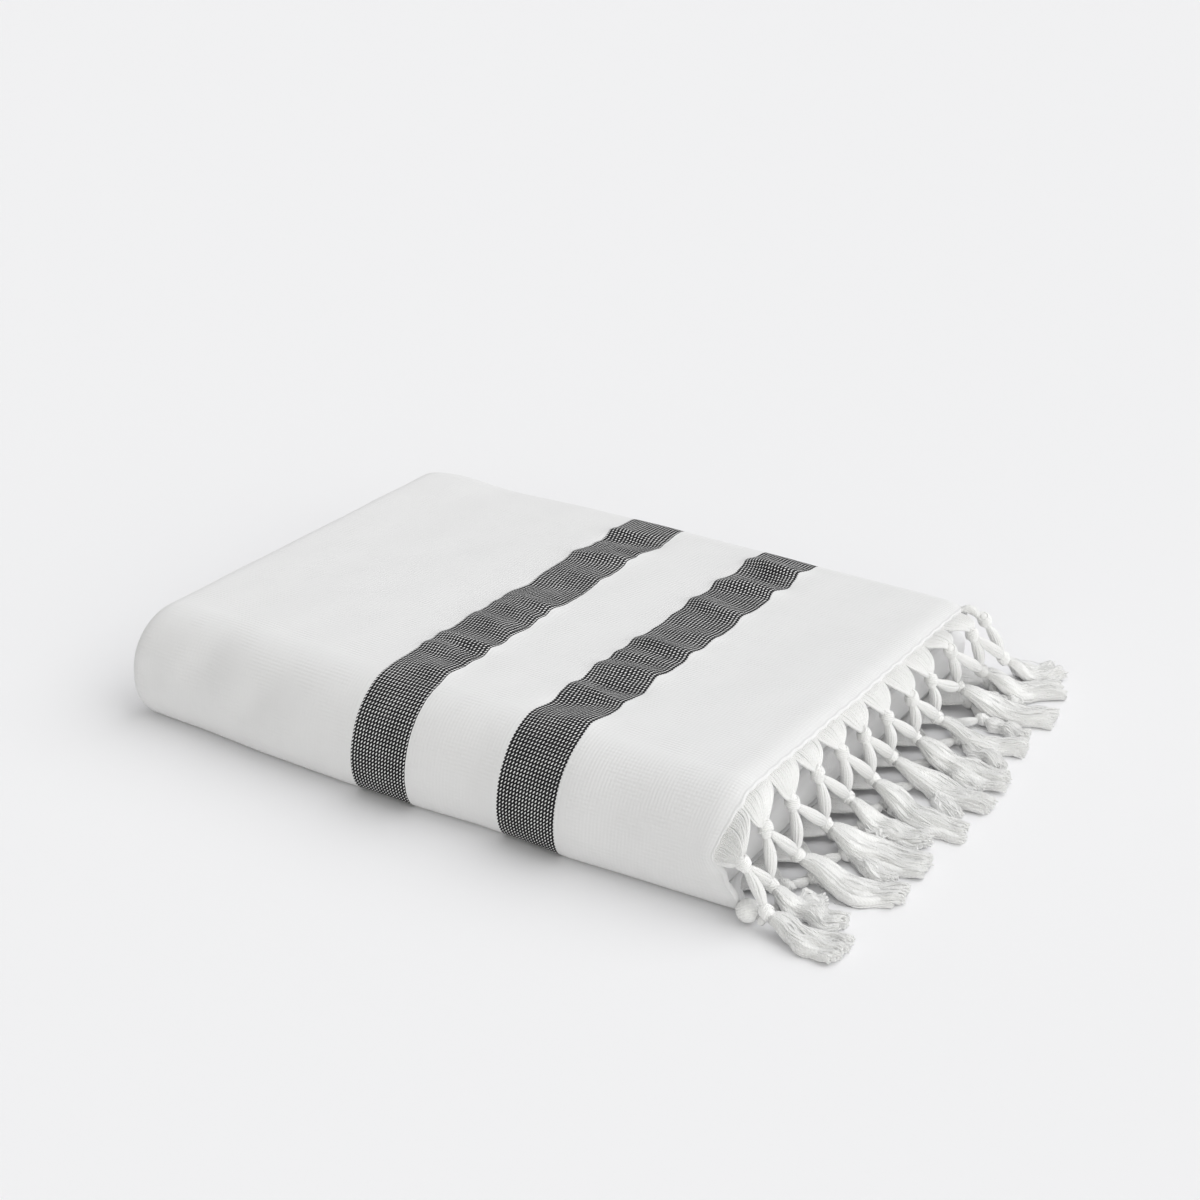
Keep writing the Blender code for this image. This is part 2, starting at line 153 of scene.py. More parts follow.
def meshPiece(name, points, faces, uv, material, slotName):
    # Faces is an array of quads; a quad that repeats its last corner is a triangle.
    mesh = bpy.data.meshes.new(name)
    quads = faces[faces[:, 3] != faces[:, 2]]
    threes = faces[faces[:, 3] == faces[:, 2]][:, :3]
    corners = np.concatenate([quads.ravel(), threes.ravel()]).astype(np.int32)
    sizes = np.concatenate([np.full(len(quads), 4), np.full(len(threes), 3)])
    mesh.vertices.add(len(points))
    mesh.vertices.foreach_set("co", (points - baseCentre).astype(np.float32).ravel())
    mesh.loops.add(len(corners))
    mesh.loops.foreach_set("vertex_index", corners)
    mesh.polygons.add(len(sizes))
    starts = np.concatenate([[0], np.cumsum(sizes)[:-1]]).astype(np.int32)
    mesh.polygons.foreach_set("loop_start", starts)
    mesh.update(calc_edges=True)
    layer = mesh.uv_layers.new(name=uvName)
    layer.data.foreach_set("uv", uv[corners].astype(np.float32).ravel())
    mesh.polygons.foreach_set("use_smooth", np.ones(len(sizes), dtype=bool))
    mesh.materials.append(material)
    mesh.validate()
    piece = newObject(name, mesh)
    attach(piece, "root")
    print(name, len(points), "points", 2 * len(quads) + len(threes), "triangles")
    return piece


def gridFaces(rows, columns, closed):
    # Quads of a rows x columns grid; closed joins the last column to the first.
    i = np.arange(rows - 1)[:, None]
    j = np.arange(columns if closed else columns - 1)[None, :]
    k = (j + 1) % columns
    quads = np.stack([i * columns + j, i * columns + k, (i + 1) * columns + k,
                      (i + 1) * columns + j], axis=-1)
    return quads.reshape(-1, 4)


cloth = {
    # the fringed edge, the turns of the layers and the hidden end, along x
    "edgeX": 0.4185, "leftTurnX": 0.0150, "rightTurnX": 0.4035, "innerTurnX": 0.0190,
    "farEndX": 0.3960, "rollReach": 0.0092,
    # the stack's heights, its back fold and its selvedges
    "frontHeight": 0.0680, "backHeight": 0.0600, "backTurnY": 0.3147,
    "backTurnReach": 0.0183, "selvedgeY": 0.3310, "innerSelvedgeY": 0.0680,
    # the sheet's thickness, also at the fringed edge; the lowest layer's middle line
    "sheet": 0.0027, "edgeSheet": 0.0018, "innerLayer": 0.00235,
    # shares of the thickness left at the rims
    "edgeRim": 0.75, "endRim": 0.5, "selvedgeRims": (0.45, 0.85), "innerRim": 0.5,
    # the front fold, and where the inner side of the panels meets the outer side's y
    "foldTopReach": 0.0364, "foldBottomReach": 0.0120, "foldBulgeHeight": 0.0226,
    "foldInnerY": 0.0360, "foldInnerReach": 0.0150, "bottomJoinY": 0.085, "topJoinY": 0.070,
    "frontWaveReach": 0.040,
    # the left end's fullness, and its rounder back corner: across x, from y, to y
    "leftBulge": 0.0068, "leftSquare": 0.5, "leftBulgeReach": 0.060, "leftMore": 0.0014,
    "cornerPull": 0.0110, "cornerReach": (0.034, 0.262, 0.333),
    # the fringed edge: its band, droop, hem and the tug of each bundle of yarn
    "edgeBandX": 0.385, "edgeDroop": 0.0028, "edgeDroopStart": 0.4060,
    "hemHigh": 0.0005, "hemPlace": 0.969, "hemWide": 0.020, "hemFrom": (0.002, 0.014),
    "tug": 0.00045, "tugPitch": 0.0146, "tugFrom": 0.412, "tugReach": 0.006,
    # the inner layers' rolls and tuck at the right end
    "rollDrop": 0.0034, "rollSplit": 0.0338, "rollFrom": (0.374, 0.401),
    "tuck": 0.046, "tuckFrom": (0.330, 0.4185),
    # how far the selvedges stray, for each layer and along x
    "selvedgeWander": (0.0, -0.0030, -0.0012, -0.0042), "selvedgeBand": 0.035,
    "selvedgeSkew": 0.0105, "skewFrom": (0.25, 0.40), "wobble": 0.0012, "wobbleSize": 0.09,
    # soft unevenness: height and length of the waves
    "layerWander": 0.0007, "wanderSize": 0.11, "softness": 0.00055, "softSize": 0.055,
    "swells": (     # x, y, height, reach in x, reach in y
        (0.110, 0.100, 0.0012, 0.070, 0.060), (0.330, 0.190, -0.0016, 0.060, 0.070),
        (0.200, 0.250, 0.0011, 0.060, 0.040), (0.050, 0.240, -0.0010, 0.040, 0.060),
        (0.240, 0.055, 0.0010, 0.050, 0.030), (0.072, 0.330, -0.0034, 0.045, 0.030)),
    "dents": (      # x, z, lean, depth, reach across, reach along
        (0.052, 0.050, 0.5, 0.0026, 0.012, 0.020), (0.093, 0.036, 0.6, 0.0024, 0.013, 0.018),
        (0.014, 0.030, 0.3, 0.0016, 0.014, 0.012), (0.372, 0.029, 0.0, 0.0016, 0.045, 0.010)),
    "frontWave": (  # x, shift in y
        (0.000, 0.0010), (0.050, 0.0000), (0.095, -0.0030), (0.150, -0.0040),
        (0.215, -0.0036), (0.255, -0.0010), (0.285, -0.0012), (0.320, -0.0030),
        (0.350, -0.0010), (0.420, 0.0020)),
    "frontEdge": (  # turn angle round the front fold, x of the fringed edge
        (-90.0, 0.4270), (-50.0, 0.4280), (-30.0, 0.4278), (-20.0, 0.4265), (-9.0, 0.4228),
        (1.0, 0.4180), (7.0, 0.4145), (11.0, 0.4120), (16.0, 0.4112), (23.0, 0.4130),
        (36.0, 0.4155), (50.0, 0.4175), (62.0, 0.4185), (90.0, 0.4185)),
    "bottomEdge": (  # y, x of the lowest layer's edge
        (0.0080, 0.4270), (0.0160, 0.4240), (0.0280, 0.4160), (0.0420, 0.4118),
        (0.3310, 0.4105)),
    # rows of the mesh: the first ones' distances from the selvedge, the even ones' distances
    # from the selvedge and the fold, and numbers; then the columns along the cloth
    "rimRows": (0, 0.0006, 0.0018, 0.004, 0.008, 0.014), "evenRows": (0.022, 0.004),
    "rowCounts": {"bottom": 34, "under": 14, "over": 32, "top": 111, "back": 24, "middle": 24},
    "hemColumns": (0.0, 0.0005, 0.0010, 0.0016, 0.0022, 0.0030, 0.0045, 0.0078),
    "hemEndX": 0.4065, "stripePad": 0.0060, "topColumns": (16, 23, 11, 23, 22),
}
# One panel of the fold, and the depths in it of its four layers' middle lines, lowest first
panel = cloth["backHeight"] / 3
layerStep = (panel - cloth["sheet"] / 2 - cloth["innerLayer"]) / 3
layerB, layerD, layerC, layerA = (cloth["innerLayer"] + layerStep * k for k in range(4))

# Dark stripes, and the puckers of their looser weave on the top. Each pucker is a ridge
# across the stripe: y at its left edge, y at its right edge, height at each, half width.
stripes = (
    {"x": (0.1715, 0.2106), "lift": 0.0006, "ridges": (
        (0.047, 0.048, 0.0004, 0.0030, 0.010), (0.073, 0.069, 0.0020, 0.0014, 0.006),
        (0.088, 0.090, 0.0024, 0.0030, 0.007), (0.124, 0.113, 0.0016, 0.0022, 0.009),
        (0.147, 0.143, 0.0014, 0.0020, 0.007), (0.163, 0.158, 0.0017, 0.0034, 0.008),
        (0.188, 0.190, -0.0020, -0.0010, 0.009), (0.212, 0.217, 0.0004, 0.0020, 0.008),
        (0.243, 0.249, 0.0022, 0.0026, 0.007), (0.262, 0.265, -0.0014, 0.0018, 0.006),
        (0.275, 0.288, -0.0024, -0.0024, 0.008), (0.290, 0.300, 0.0024, -0.0010, 0.005))},
    {"x": (0.2732, 0.3128), "lift": 0.0006, "ridges": (
        (0.030, 0.040, 0.0000, 0.0028, 0.012), (0.055, 0.068, -0.0030, -0.0004, 0.010),
        (0.076, 0.077, 0.0010, 0.0016, 0.005), (0.087, 0.093, -0.0016, -0.0020, 0.006),
        (0.110, 0.114, 0.0026, 0.0030, 0.008), (0.131, 0.134, 0.0018, 0.0004, 0.006),
        (0.151, 0.156, 0.0024, 0.0028, 0.007), (0.176, 0.180, 0.0002, 0.0016, 0.008),
        (0.197, 0.201, 0.0010, -0.0002, 0.006), (0.222, 0.220, 0.0030, 0.0026, 0.008),
        (0.258, 0.263, 0.0034, 0.0034, 0.007), (0.277, 0.279, -0.0014, -0.0020, 0.006),
        (0.297, 0.299, 0.0034, 0.0038, 0.007))},
)
puckers = {
    "scale": 1.2, "edgeRise": 0.26, "innerRise": 0.85, "edgeShift": 0.58,
    "nearReach": 0.0038, "farReach": 0.011, "farShare": 0.12,   # into the white cloth
    "bend": 0.0016, "grain": 0.00030, "grainSize": 0.011,
    "front": (0.020, 0.022), "back": (0.322, 0.016),            # where they start, and how soon
}


def rowTable():
    # Rows across the cloth: level panels, two quarter ellipses at the front fold, half an
    # ellipse at the back fold. Columns: outer y, outer z, inner y, inner z, edge x, fold
    # weight, roll depth, tuck, and the distance across the cloth along the outer layer.
    c = cloth
    number = c["rowCounts"]

    def height(y):
        # Falls evenly from the front fold to the back fold
        share = np.clip((y - c["foldTopReach"]) / (c["backTurnY"] - c["foldTopReach"]), 0, 1)
        return c["frontHeight"] + (c["backHeight"] - c["frontHeight"]) * share

    def innerLine(y, start, join):
        # Starts at the fold's own inner line and has caught up with y at the join
        return np.where(y > join, y, np.interp(y, [start, join], [c["foldInnerY"], join]))

    def level(y, innerY, outerShare, innerShare, edge, rollLow, rollHigh, tuck):
        # Rolls: how much deeper the inner layers reach at the right end
        z = height(y)
        zero = np.zeros_like(y)
        third = z / 3
        low = rollLow * (c["rollSplit"] / third - 1)
        high = rollHigh * ((z - c["rollSplit"]) / third - 1)
        return np.stack([y, z * outerShare, innerY, z * innerShare, edge + zero, zero,
                         panel * (low + high), tuck + zero], 1)

    selvedge = c["selvedgeY"]
    first, last = c["evenRows"]
    even = np.linspace(first, selvedge - c["foldBottomReach"] - last, number["bottom"])
    bottomY = selvedge - np.concatenate([c["rimRows"], even])
    bottomEdge = np.interp(bottomY, *zip(*c["bottomEdge"]))
    bottom = level(bottomY, innerLine(bottomY, c["foldBottomReach"], c["bottomJoinY"]),
                   0.0, 1 / 3, bottomEdge, 1, 0, 0)

    angle = np.radians(np.concatenate([np.linspace(-90, 0, number["under"])[:-1],
                                       np.linspace(0, 90, number["over"])]))
    reach = np.where(angle < 0, c["foldBottomReach"], c["foldTopReach"])
    rise = np.where(angle < 0, c["foldBulgeHeight"], c["frontHeight"] - c["foldBulgeHeight"])
    edge = np.interp(np.degrees(angle), *zip(*c["frontEdge"]))
    third = c["frontHeight"] / 3
    roll = np.where(angle < 0, c["rollSplit"] / third - 1, 2 - c["rollSplit"] / third)
    roll *= panel * np.abs(np.sin(angle)) ** 1.5
    front = np.stack([
        reach * (1 - np.cos(angle)), c["foldBulgeHeight"] + rise * np.sin(angle),
        c["foldInnerY"] - c["foldInnerReach"] * np.cos(angle),
        c["frontHeight"] * (0.5 + np.sin(angle) / 6), edge, np.cos(angle), roll, 0 * roll], 1)

    topY = np.linspace(c["foldTopReach"], c["backTurnY"], number["top"])[1:-1]
    top = level(topY, innerLine(topY, c["foldTopReach"], c["topJoinY"]),
                1.0, 2 / 3, c["edgeX"], 0, 1, 0)

    turn = np.linspace(0, math.pi, number["back"])
    ones = np.ones_like(turn)
    third = c["backHeight"] / 3
    backRoll = panel * (2 - c["rollSplit"] / third) * (1 - ease(turn, 0, 1.5))
    backTuck = ease(turn, 1.1, math.pi)
    back = np.stack([
        c["backTurnY"] + c["backTurnReach"] * np.sin(turn),
        c["backHeight"] - panel + panel * np.cos(turn), c["backTurnY"] * ones,
        (c["backHeight"] - panel) * ones, c["edgeX"] * ones, 0 * ones, backRoll, backTuck], 1)

    middleY = np.linspace(c["backTurnY"], c["innerSelvedgeY"], number["middle"])[1:]
    middle = level(middleY, middleY, 1 / 3, 2 / 3, c["edgeX"], 0, 0, 1)
    rows = np.concatenate([bottom, front, top, back, middle])
    steps = np.hypot(np.diff(rows[:, 0]), np.diff(rows[:, 1]))
    across = np.concatenate([[0], np.cumsum(steps)])
    counts = {"front": len(bottom), "back": len(bottom) + len(front) + len(top)}
    return np.column_stack([rows, across]), counts


def layerLine():
    # The cloth's middle line through its four layers, from the fringed edge inwards:
    # straight runs joined by half ellipses. Columns: x, depth in the stack, layer number.
    c = cloth

    def run(start, end, count, depth, number):
        # Even steps along one layer, without the last
        x = np.linspace(start, end, count, endpoint=False)
        return np.column_stack([x, np.full(count, depth), np.full(count, number)])

    def halfTurn(x, depthFrom, depthTo, reach, count, number, square=1.0):
        # Half an ellipse; a power of the sine below 1 squares it
        t = np.linspace(0, math.pi, count, endpoint=False)
        depth = (depthFrom + depthTo) / 2 + (depthFrom - depthTo) / 2 * np.cos(t)
        return np.column_stack([x + reach * np.sin(t) ** square, depth, number + t / math.pi])

    (left1, right1), (left2, right2) = (stripe["x"] for stripe in stripes)
    pad = c["stripePad"]
    stops = (c["hemEndX"], right2 + pad, left2 - pad, right1 + pad, left1 - pad, c["leftTurnX"])
    leftReach = -(c["leftTurnX"] - c["sheet"] / 2 + c["leftMore"])
    low = c["rollFrom"][0]
    hem = np.array(c["hemColumns"])
    parts = [np.column_stack([c["edgeX"] - hem, 0 * hem + layerA, 0 * hem])]
    for start, end, count in zip(stops, stops[1:], c["topColumns"]):
        parts.append(run(start, end, count, layerA, 0))
    parts += [
        halfTurn(c["leftTurnX"], layerA, layerB, leftReach, 22, 0, c["leftSquare"]),
        run(c["leftTurnX"], low, 8, layerB, 1),
        run(low, c["rightTurnX"], 10, layerB, 1),
        halfTurn(c["rightTurnX"], layerB, layerC, c["rollReach"], 26, 1),
        run(c["rightTurnX"], low, 10, layerC, 2),
        run(low, c["innerTurnX"], 6, layerC, 2),
        halfTurn(c["innerTurnX"], layerC, layerD, -layerStep / 2, 8, 2),
        run(c["innerTurnX"], low, 5, layerD, 3),
        run(low, c["farEndX"] - 0.001, 5, layerD, 3),
        np.array([[c["farEndX"], layerD, 3]])]
    return np.concatenate(parts)


def pucker(x, y):
    # Height and sideways shift of the stripes' ridges: a bell across each ridge's own
    # slanting line, fullest inside the stripe and dying out in the white cloth beside it.
    p = puckers
    rise, shift = np.zeros_like(x), np.zeros_like(x)
    for number, stripe in enumerate(stripes):
        left, right = stripe["x"]
        share = (x - left) / (right - left)
        outside = np.maximum(np.maximum(left - x, x - right), 0)
        window = ((1 - p["farShare"]) * bell(outside, p["nearReach"])
                  + p["farShare"] * bell(outside, p["farReach"]))
        ridge = np.full_like(x, stripe["lift"])
        for yLeft, yRight, highLeft, highRight, half in stripe["ridges"]:
            bend = p["bend"] * np.sin(share * 5 + yLeft * 90)
            crest = yLeft + (yRight - yLeft) * share + bend
            high = p["scale"] * (highLeft + (highRight - highLeft) * np.clip(share, -0.3, 1.3))
            ridge = ridge + high * bell(y - crest, half)
        ridge = ridge + p["grain"] * smoothNoise(0.5 * x, y, 40 + number, p["grainSize"])
        inside = np.clip(1 - np.abs(2 * share - 1) ** 2.5, 0, 1)
        rise += (p["edgeRise"] * window + p["innerRise"] * inside) * ridge
        shift -= p["edgeShift"] * window * ridge
    (front, frontReach), (back, backReach) = p["front"], p["back"]
    fade = np.clip((y - front) / frontReach, 0, 1) * np.clip((back - y) / backReach, 0, 1)
    return rise * fade, shift * fade


def soften(x, y, z, fold):
    # Bells for the broad swells of the top and the dents of the front, the front fold's wavy
    # line, the fuller left end, and the square of a slope for its rounder back corner.
    c = cloth
    rise = np.zeros_like(x)
    for centreX, centreY, high, reachX, reachY in c["swells"]:
        rise += high * np.exp(-((x - centreX) / reachX) ** 2 - ((y - centreY) / reachY) ** 2)
    wave = np.interp(x, *zip(*c["frontWave"]))
    for centreX, centreZ, lean, deep, across, up in c["dents"]:
        away = (x - centreX - lean * (z - centreZ)) / across
        wave = wave + deep * np.exp(-away ** 2 - ((z - centreZ) / up) ** 2)
    left = np.clip(1 - x / c["leftBulgeReach"], 0, 1)
    across, begin, end = c["cornerReach"]
    corner = np.clip(1 - x / across, 0, 1.2) ** 2 * ease(y, begin, end)
    newY = y + wave * bell(y, c["frontWaveReach"]) - c["cornerPull"] * corner
    return x - c["leftBulge"] * left * fold, newY, z * (1 + rise / c["frontHeight"])


def placeInStack(x, depth, rows, layer):
    # A point at a depth in the stack lies on its row's line from inner to outer side. The
    # depth grows in the rolls, droops at the edge and wanders; the top carries the puckers.
    c = cloth
    outerY, outerZ, innerY, innerZ, _, fold, roll, tuck, across = (
        rows[:, k][:, None] for k in range(9))
    inside = np.clip(layer, 0, 1)
    fill = ease(x, *c["rollFrom"]) * inside
    x = x - tuck * c["tuck"] * ease(x, *c["tuckFrom"])
    above = np.clip((depth - layerD) / layerStep, 0, 1)
    depth = depth + fill * (roll > 0) * c["rollDrop"] * above
    depth = depth - fill * roll * (1 - depth / panel)
    past = np.clip((x - c["edgeDroopStart"]) / (c["edgeX"] - c["edgeDroopStart"]), 0, 1.5)
    droop = c["edgeDroop"] * past ** 1.5 * (layer < 0.5) * (outerZ > panel)
    stretch = np.hypot(outerY - innerY, outerZ - innerZ) / panel
    apart = 0.7 * np.floor(layer + 0.5)
    wander = inside * c["layerWander"] * smoothNoise(x + apart, across, 3, c["wanderSize"])
    soft = c["softness"] * smoothNoise(x, across, 5, c["softSize"])
    level = (1 - inside) * (outerZ > panel) * soft
    onTop = (outerZ > 2.2 * panel) * (layer < 0.5)
    rise, shift = pucker(x, outerY + 0 * x)
    depth = depth - droop + (wander + level + onTop * rise) / stretch
    x = x + onTop * shift
    share = depth / panel
    y = innerY + (outerY - innerY) * share
    z = innerZ + (outerZ - innerZ) * share
    return np.stack(soften(x, y, z, fold), axis=-1)


def sheetSides(rows, line):
    # Both sides of the sheet, half its thickness from the middle line in every row. The
    # thickness eases off towards the rims, and a low bell beside the fringed edge is the hem.
    c = cloth
    x0, depth0, layer = line.T
    band = c["edgeX"] - c["edgeBandX"]
    nearEdge = np.clip((x0 - c["edgeBandX"]) / band, 0, 1) * (layer < 0.5)
    x = x0[None, :] + (rows[:, 4] - c["edgeX"])[:, None] * nearEdge
    depth = np.repeat(depth0[None, :], len(rows), axis=0)
    alongX, alongDepth = np.gradient(x, axis=1), np.gradient(depth, axis=1)
    size = np.hypot(alongX, alongDepth)
    half = np.full_like(x, c["sheet"] / 2)
    half += (c["edgeSheet"] - c["sheet"]) / 2 * np.clip(nearEdge * 6 - 5, 0, 1)
    hem = c["hemHigh"] * bell(nearEdge - c["hemPlace"], c["hemWide"])
    half += hem * ease(rows[:, 1], *c["hemFrom"])[:, None]
    half[:, 0] *= c["edgeRim"]
    half[:, -1] *= c["endRim"]
    half[0] *= c["selvedgeRims"][0]
    half[1] *= c["selvedgeRims"][1]
    half[-1] *= c["innerRim"]
    offset = np.stack([-alongDepth / size, alongX / size]) * half
    both = layer[None, :] + 0 * x
    sideA = placeInStack(x + offset[0], depth + offset[1], rows, both)
    sideB = placeInStack(x - offset[0], depth - offset[1], rows, both)
    return np.concatenate([sideA, sideB[:, ::-1]], axis=1)


def strayEdges(points, rows, layer):
    # The selvedges of the layers don't end quite in line, so their y wanders, and a cosine
    # draws the fringed edge in a little at each bundle of yarn.
    c = cloth
    number = np.concatenate([layer, layer[::-1]])[None, :]
    lag = np.interp(number, range(4), c["selvedgeWander"])
    wobble = c["wobble"] * smoothNoise(points[..., 0] + 0.05 * number, 0.04 * number, 11,
                                       c["wobbleSize"])
    near = np.clip(1 - (rows[:, 8][:, None]) / c["selvedgeBand"], 0, 1)
    skew = c["selvedgeSkew"] * ease(points[..., 0], *c["skewFrom"])
    points[..., 1] += (lag + wobble + skew) * near
    tug = c["tug"] * np.cos(math.tau * rows[:, 8] / c["tugPitch"]) * (rows[:, 1] > panel)
    points[..., 0] += tug[:, None] * np.clip((points[..., 0] - c["tugFrom"]) / c["tugReach"], 0, 1)


def makeCloth(material):
    # One closed grid of both sides, with quads across the two selvedges. The UV map holds
    # the distances along and across the cloth. Also gives the fringed edge's line, the
    # direction outwards from the fold at each of its points, and where the rows' parts start.
    rows, counts = rowTable()
    line = layerLine()
    x0, depth0, layer = line.T
    points = sheetSides(rows, line)
    strayEdges(points, rows, layer)
    steps = np.hypot(np.diff(x0), np.diff(depth0))
    alongCloth = np.concatenate([[0], np.cumsum(steps)])
    u = np.concatenate([alongCloth, alongCloth[::-1]])
    uv = np.stack([np.tile(u, (len(rows), 1)), np.tile(rows[:, 8][:, None], (1, len(u)))], -1)
    count = points.shape[1]
    faces = gridFaces(len(rows), count, True)
    i = np.arange(count // 2 - 1)
    first = np.stack([i + 1, i, count - 1 - i, count - 2 - i], 1)
    last = (len(rows) - 1) * count + first[:, ::-1]
    faces = np.concatenate([faces[:, ::-1], first[:, ::-1], last[:, ::-1]])
    piece = meshPiece("towel", points.reshape(-1, 3), faces, uv.reshape(-1, 2), material,
                      "white_cotton_cloth")
    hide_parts("towel_cloth")
    edge = (points[:, 0] + points[:, -1]) / 2
    outward = np.stack([0 * rows[:, 0], rows[:, 0] - rows[:, 2], rows[:, 1] - rows[:, 3]], 1)
    outward /= np.linalg.norm(outward, axis=1, keepdims=True)
    return piece, edge, outward, counts


weave = {
    "pick": 0.00220, "end": 0.00238,       # spacing of the dashes along and across the cloth
    "slant": 1.15, "pickShare": 1.05, "dashFrom": 0.95, "dashFull": 1.20,
    "wander": 230.0, "fibre": 2400.0, "cloud": 45.0, "slub": 420.0,     # waves a metre
    "drift": 1.1, "slubShare": 0.25, "cloudShare": 0.6,
    "ragged": 0.0006, "edge": 0.00012,     # how uneven and how soft the stripes' edges are
    "ribEnd": 0.04, "ribEndMore": 0.16, "ribPick": 0.15, "ribPatches": (0.44, 0.66),
    # the rib part of the white cloth's tone is painted shade in the grooves between the ribs
    "dashHigh": 0.8, "fibreHigh": 0.12, "ribGrooveShade": 0.30, "cloudTone": 0.25, "fibreTone": 0.6,
    "white": (0.806, 0.806, 0.812, 1), "shade": (0.748, 0.748, 0.752, 1),
    "dash": (0.96, 0.96, 0.96, 1), "dashShade": (0.80, 0.80, 0.81, 1),
    "dark": (0.006, 0.006, 0.007, 1), "darkLight": (0.022, 0.022, 0.025, 1),
    "roughness": 0.9, "bump": 0.00026, "sheen": 0.06,
}


def clothMaterial():
    # Dashes where cos(a + b), the diagonal of a lattice, and a weaker cos(a) add up high. In the
    # stripes they are white warp over dark weft; elsewhere the same threads make ribs, with
    # painted shade in their grooves.
    w = weave
    m = Maker(bpy.data.materials.new("white cotton weave with dark stripes"))
    place = m.node("ShaderNodeUVMap", {"uv_map": uvName})
    u, v = m.split(place, 0, 1)
    wander = m.noise("2D", place, w["wander"], 2.0)
    fibre = m.noise("2D", place, w["fibre"], 3.0)
    cloudy = m.noise("2D", place, w["cloud"], 3.0)
    slub = m.noise("1D", v, w["slub"], 1.0)
    drift = (wander - 0.5) * w["drift"]
    a = u * (math.tau / w["pick"]) + drift
    b = v * (math.tau / w["end"]) + drift
    pickWave, endWave = a.math("COSINE"), b.math("COSINE")
    lattice = (a + b).math("COSINE") * w["slant"] + pickWave * w["pickShare"]
    uneven = (slub - 0.5) * w["slubShare"] + (cloudy - 0.5) * w["cloudShare"]
    dash = m.smooth(lattice + uneven, w["dashFrom"], w["dashFull"])
    ragged = u + (wander - 0.5) * w["ragged"]
    bands = []
    for stripe in stripes:
        near, far = (cloth["edgeX"] - x for x in stripe["x"][::-1])
        bands.append(m.smooth(ragged, near - w["edge"], near + w["edge"])
                     * (1 - m.smooth(ragged, far - w["edge"], far + w["edge"])))
    inStripe = bands[0] + bands[1]
    dark = m.mix(fibre, w["dark"], w["darkLight"])
    warp = m.mix(fibre * w["fibreTone"], w["dash"], w["dashShade"])
    stripeColour = m.mix(dash, dark, warp)
    endRib = endWave * (m.smooth(cloudy, *w["ribPatches"]) * w["ribEndMore"] + w["ribEnd"])
    rib = endRib + pickWave * w["ribPick"] + 0.5
    # Painted shade: the white cloth turns towards the shade colour where the ribs are low, in
    # their grooves; the cloudy part is a random mottle
    grooveShadeAndMottle = (1 - rib) * w["ribGrooveShade"] + cloudy * w["cloudTone"]
    plain = m.mix(grooveShadeAndMottle, w["white"], w["shade"])
    colour = m.mix(inStripe, plain, stripeColour)
    height = rib + dash * inStripe * w["dashHigh"] + fibre * w["fibreHigh"]
    return m.finish(colour, height, w)


def unit(v):
    # Vectors brought to length 1.
    return v / np.maximum(np.linalg.norm(v, axis=-1, keepdims=True), 1e-12)


def around(centre, reach, turn, first, second):
    # Circles: from the centre, reach times the turn's cosine and sine along two directions.
    return (centre + (reach * np.cos(turn))[..., None] * first
            + (reach * np.sin(turn))[..., None] * second)


def tubes(paths, radii, sides):
    # Round yarns carried along paths (yarns x stations x 3). The section's first direction
    # is handed on from station to station, turned as little as possible.
    paths = paths.copy()
    paths[..., 2] = np.maximum(paths[..., 2], radii)
    ahead = unit(np.gradient(paths, axis=1))
    first = np.cross(ahead[:, 0], [0.21, 0.36, 0.91])
    frames = []
    for k in range(paths.shape[1]):
        first = unit(first - ahead[:, k] * np.sum(first * ahead[:, k], -1, keepdims=True))
        frames.append(first)
    first = np.stack(frames, 1)
    second = np.cross(ahead, first)
    angle = math.tau * np.arange(sides) / sides
    ring = (first[:, :, None] * np.cos(angle)[:, None]
            + second[:, :, None] * np.sin(angle)[:, None])
    points = paths[:, :, None] + ring * radii[:, :, None, None]
    count, stations = paths.shape[:2]
    steps = np.linalg.norm(np.diff(paths, axis=1), axis=-1)
    run = np.concatenate([np.zeros((count, 1)), np.cumsum(steps, axis=1)], axis=1)
    shift = np.arange(count)[:, None] * 0.37    # so that no two yarns look alike
    uv = np.stack([np.repeat((run + shift)[:, :, None], sides, 2),
                   np.broadcast_to(np.arange(sides) / sides, (count, stations, sides))], -1)
    fan = np.arange(1, sides - 1)
    start = np.stack([0 * fan, fan + 1, fan, fan], 1)
    end = (stations - 1) * sides + np.stack([0 * fan, fan, fan + 1, fan + 1], 1)
    one = np.concatenate([gridFaces(stations, sides, True), start, end])
    faces = one[None] + (np.arange(count) * stations * sides)[:, None, None]
    return points.reshape(-1, 3), faces.reshape(-1, 4), uv.reshape(-1, 2)


def joined(parts):
    # Several sets of points, faces and UVs as one.
    total = 0
    points, faces, uvs = [], [], []
    for p, f, t in parts:
        points.append(p)
        faces.append(f + total)
        uvs.append(t)
        total += len(p)
    return np.concatenate(points), np.concatenate(faces), np.concatenate(uvs)


def bezier(p0, p1, p2, p3, stations):
    # Cubic curves: four points weighted (1-s)^3, 3s(1-s)^2, 3s^2(1-s) and s^3.
    s = np.linspace(0, 1, stations)[None, :, None]
    p0, p1, p2, p3 = (p[:, None] for p in (p0, p1, p2, p3))
    return (1 - s) ** 3 * p0 + 3 * s * (1 - s) ** 2 * p1 + 3 * s ** 2 * (1 - s) * p2 + s ** 3 * p3


def along(path, distance):
    # Points at given distances along a polyline, and its whole length.
    steps = np.linalg.norm(np.diff(path, axis=0), axis=1)
    run = np.concatenate([[0], np.cumsum(steps)])
    return np.stack([np.interp(distance, run, path[:, k]) for k in range(3)], -1), run[-1]


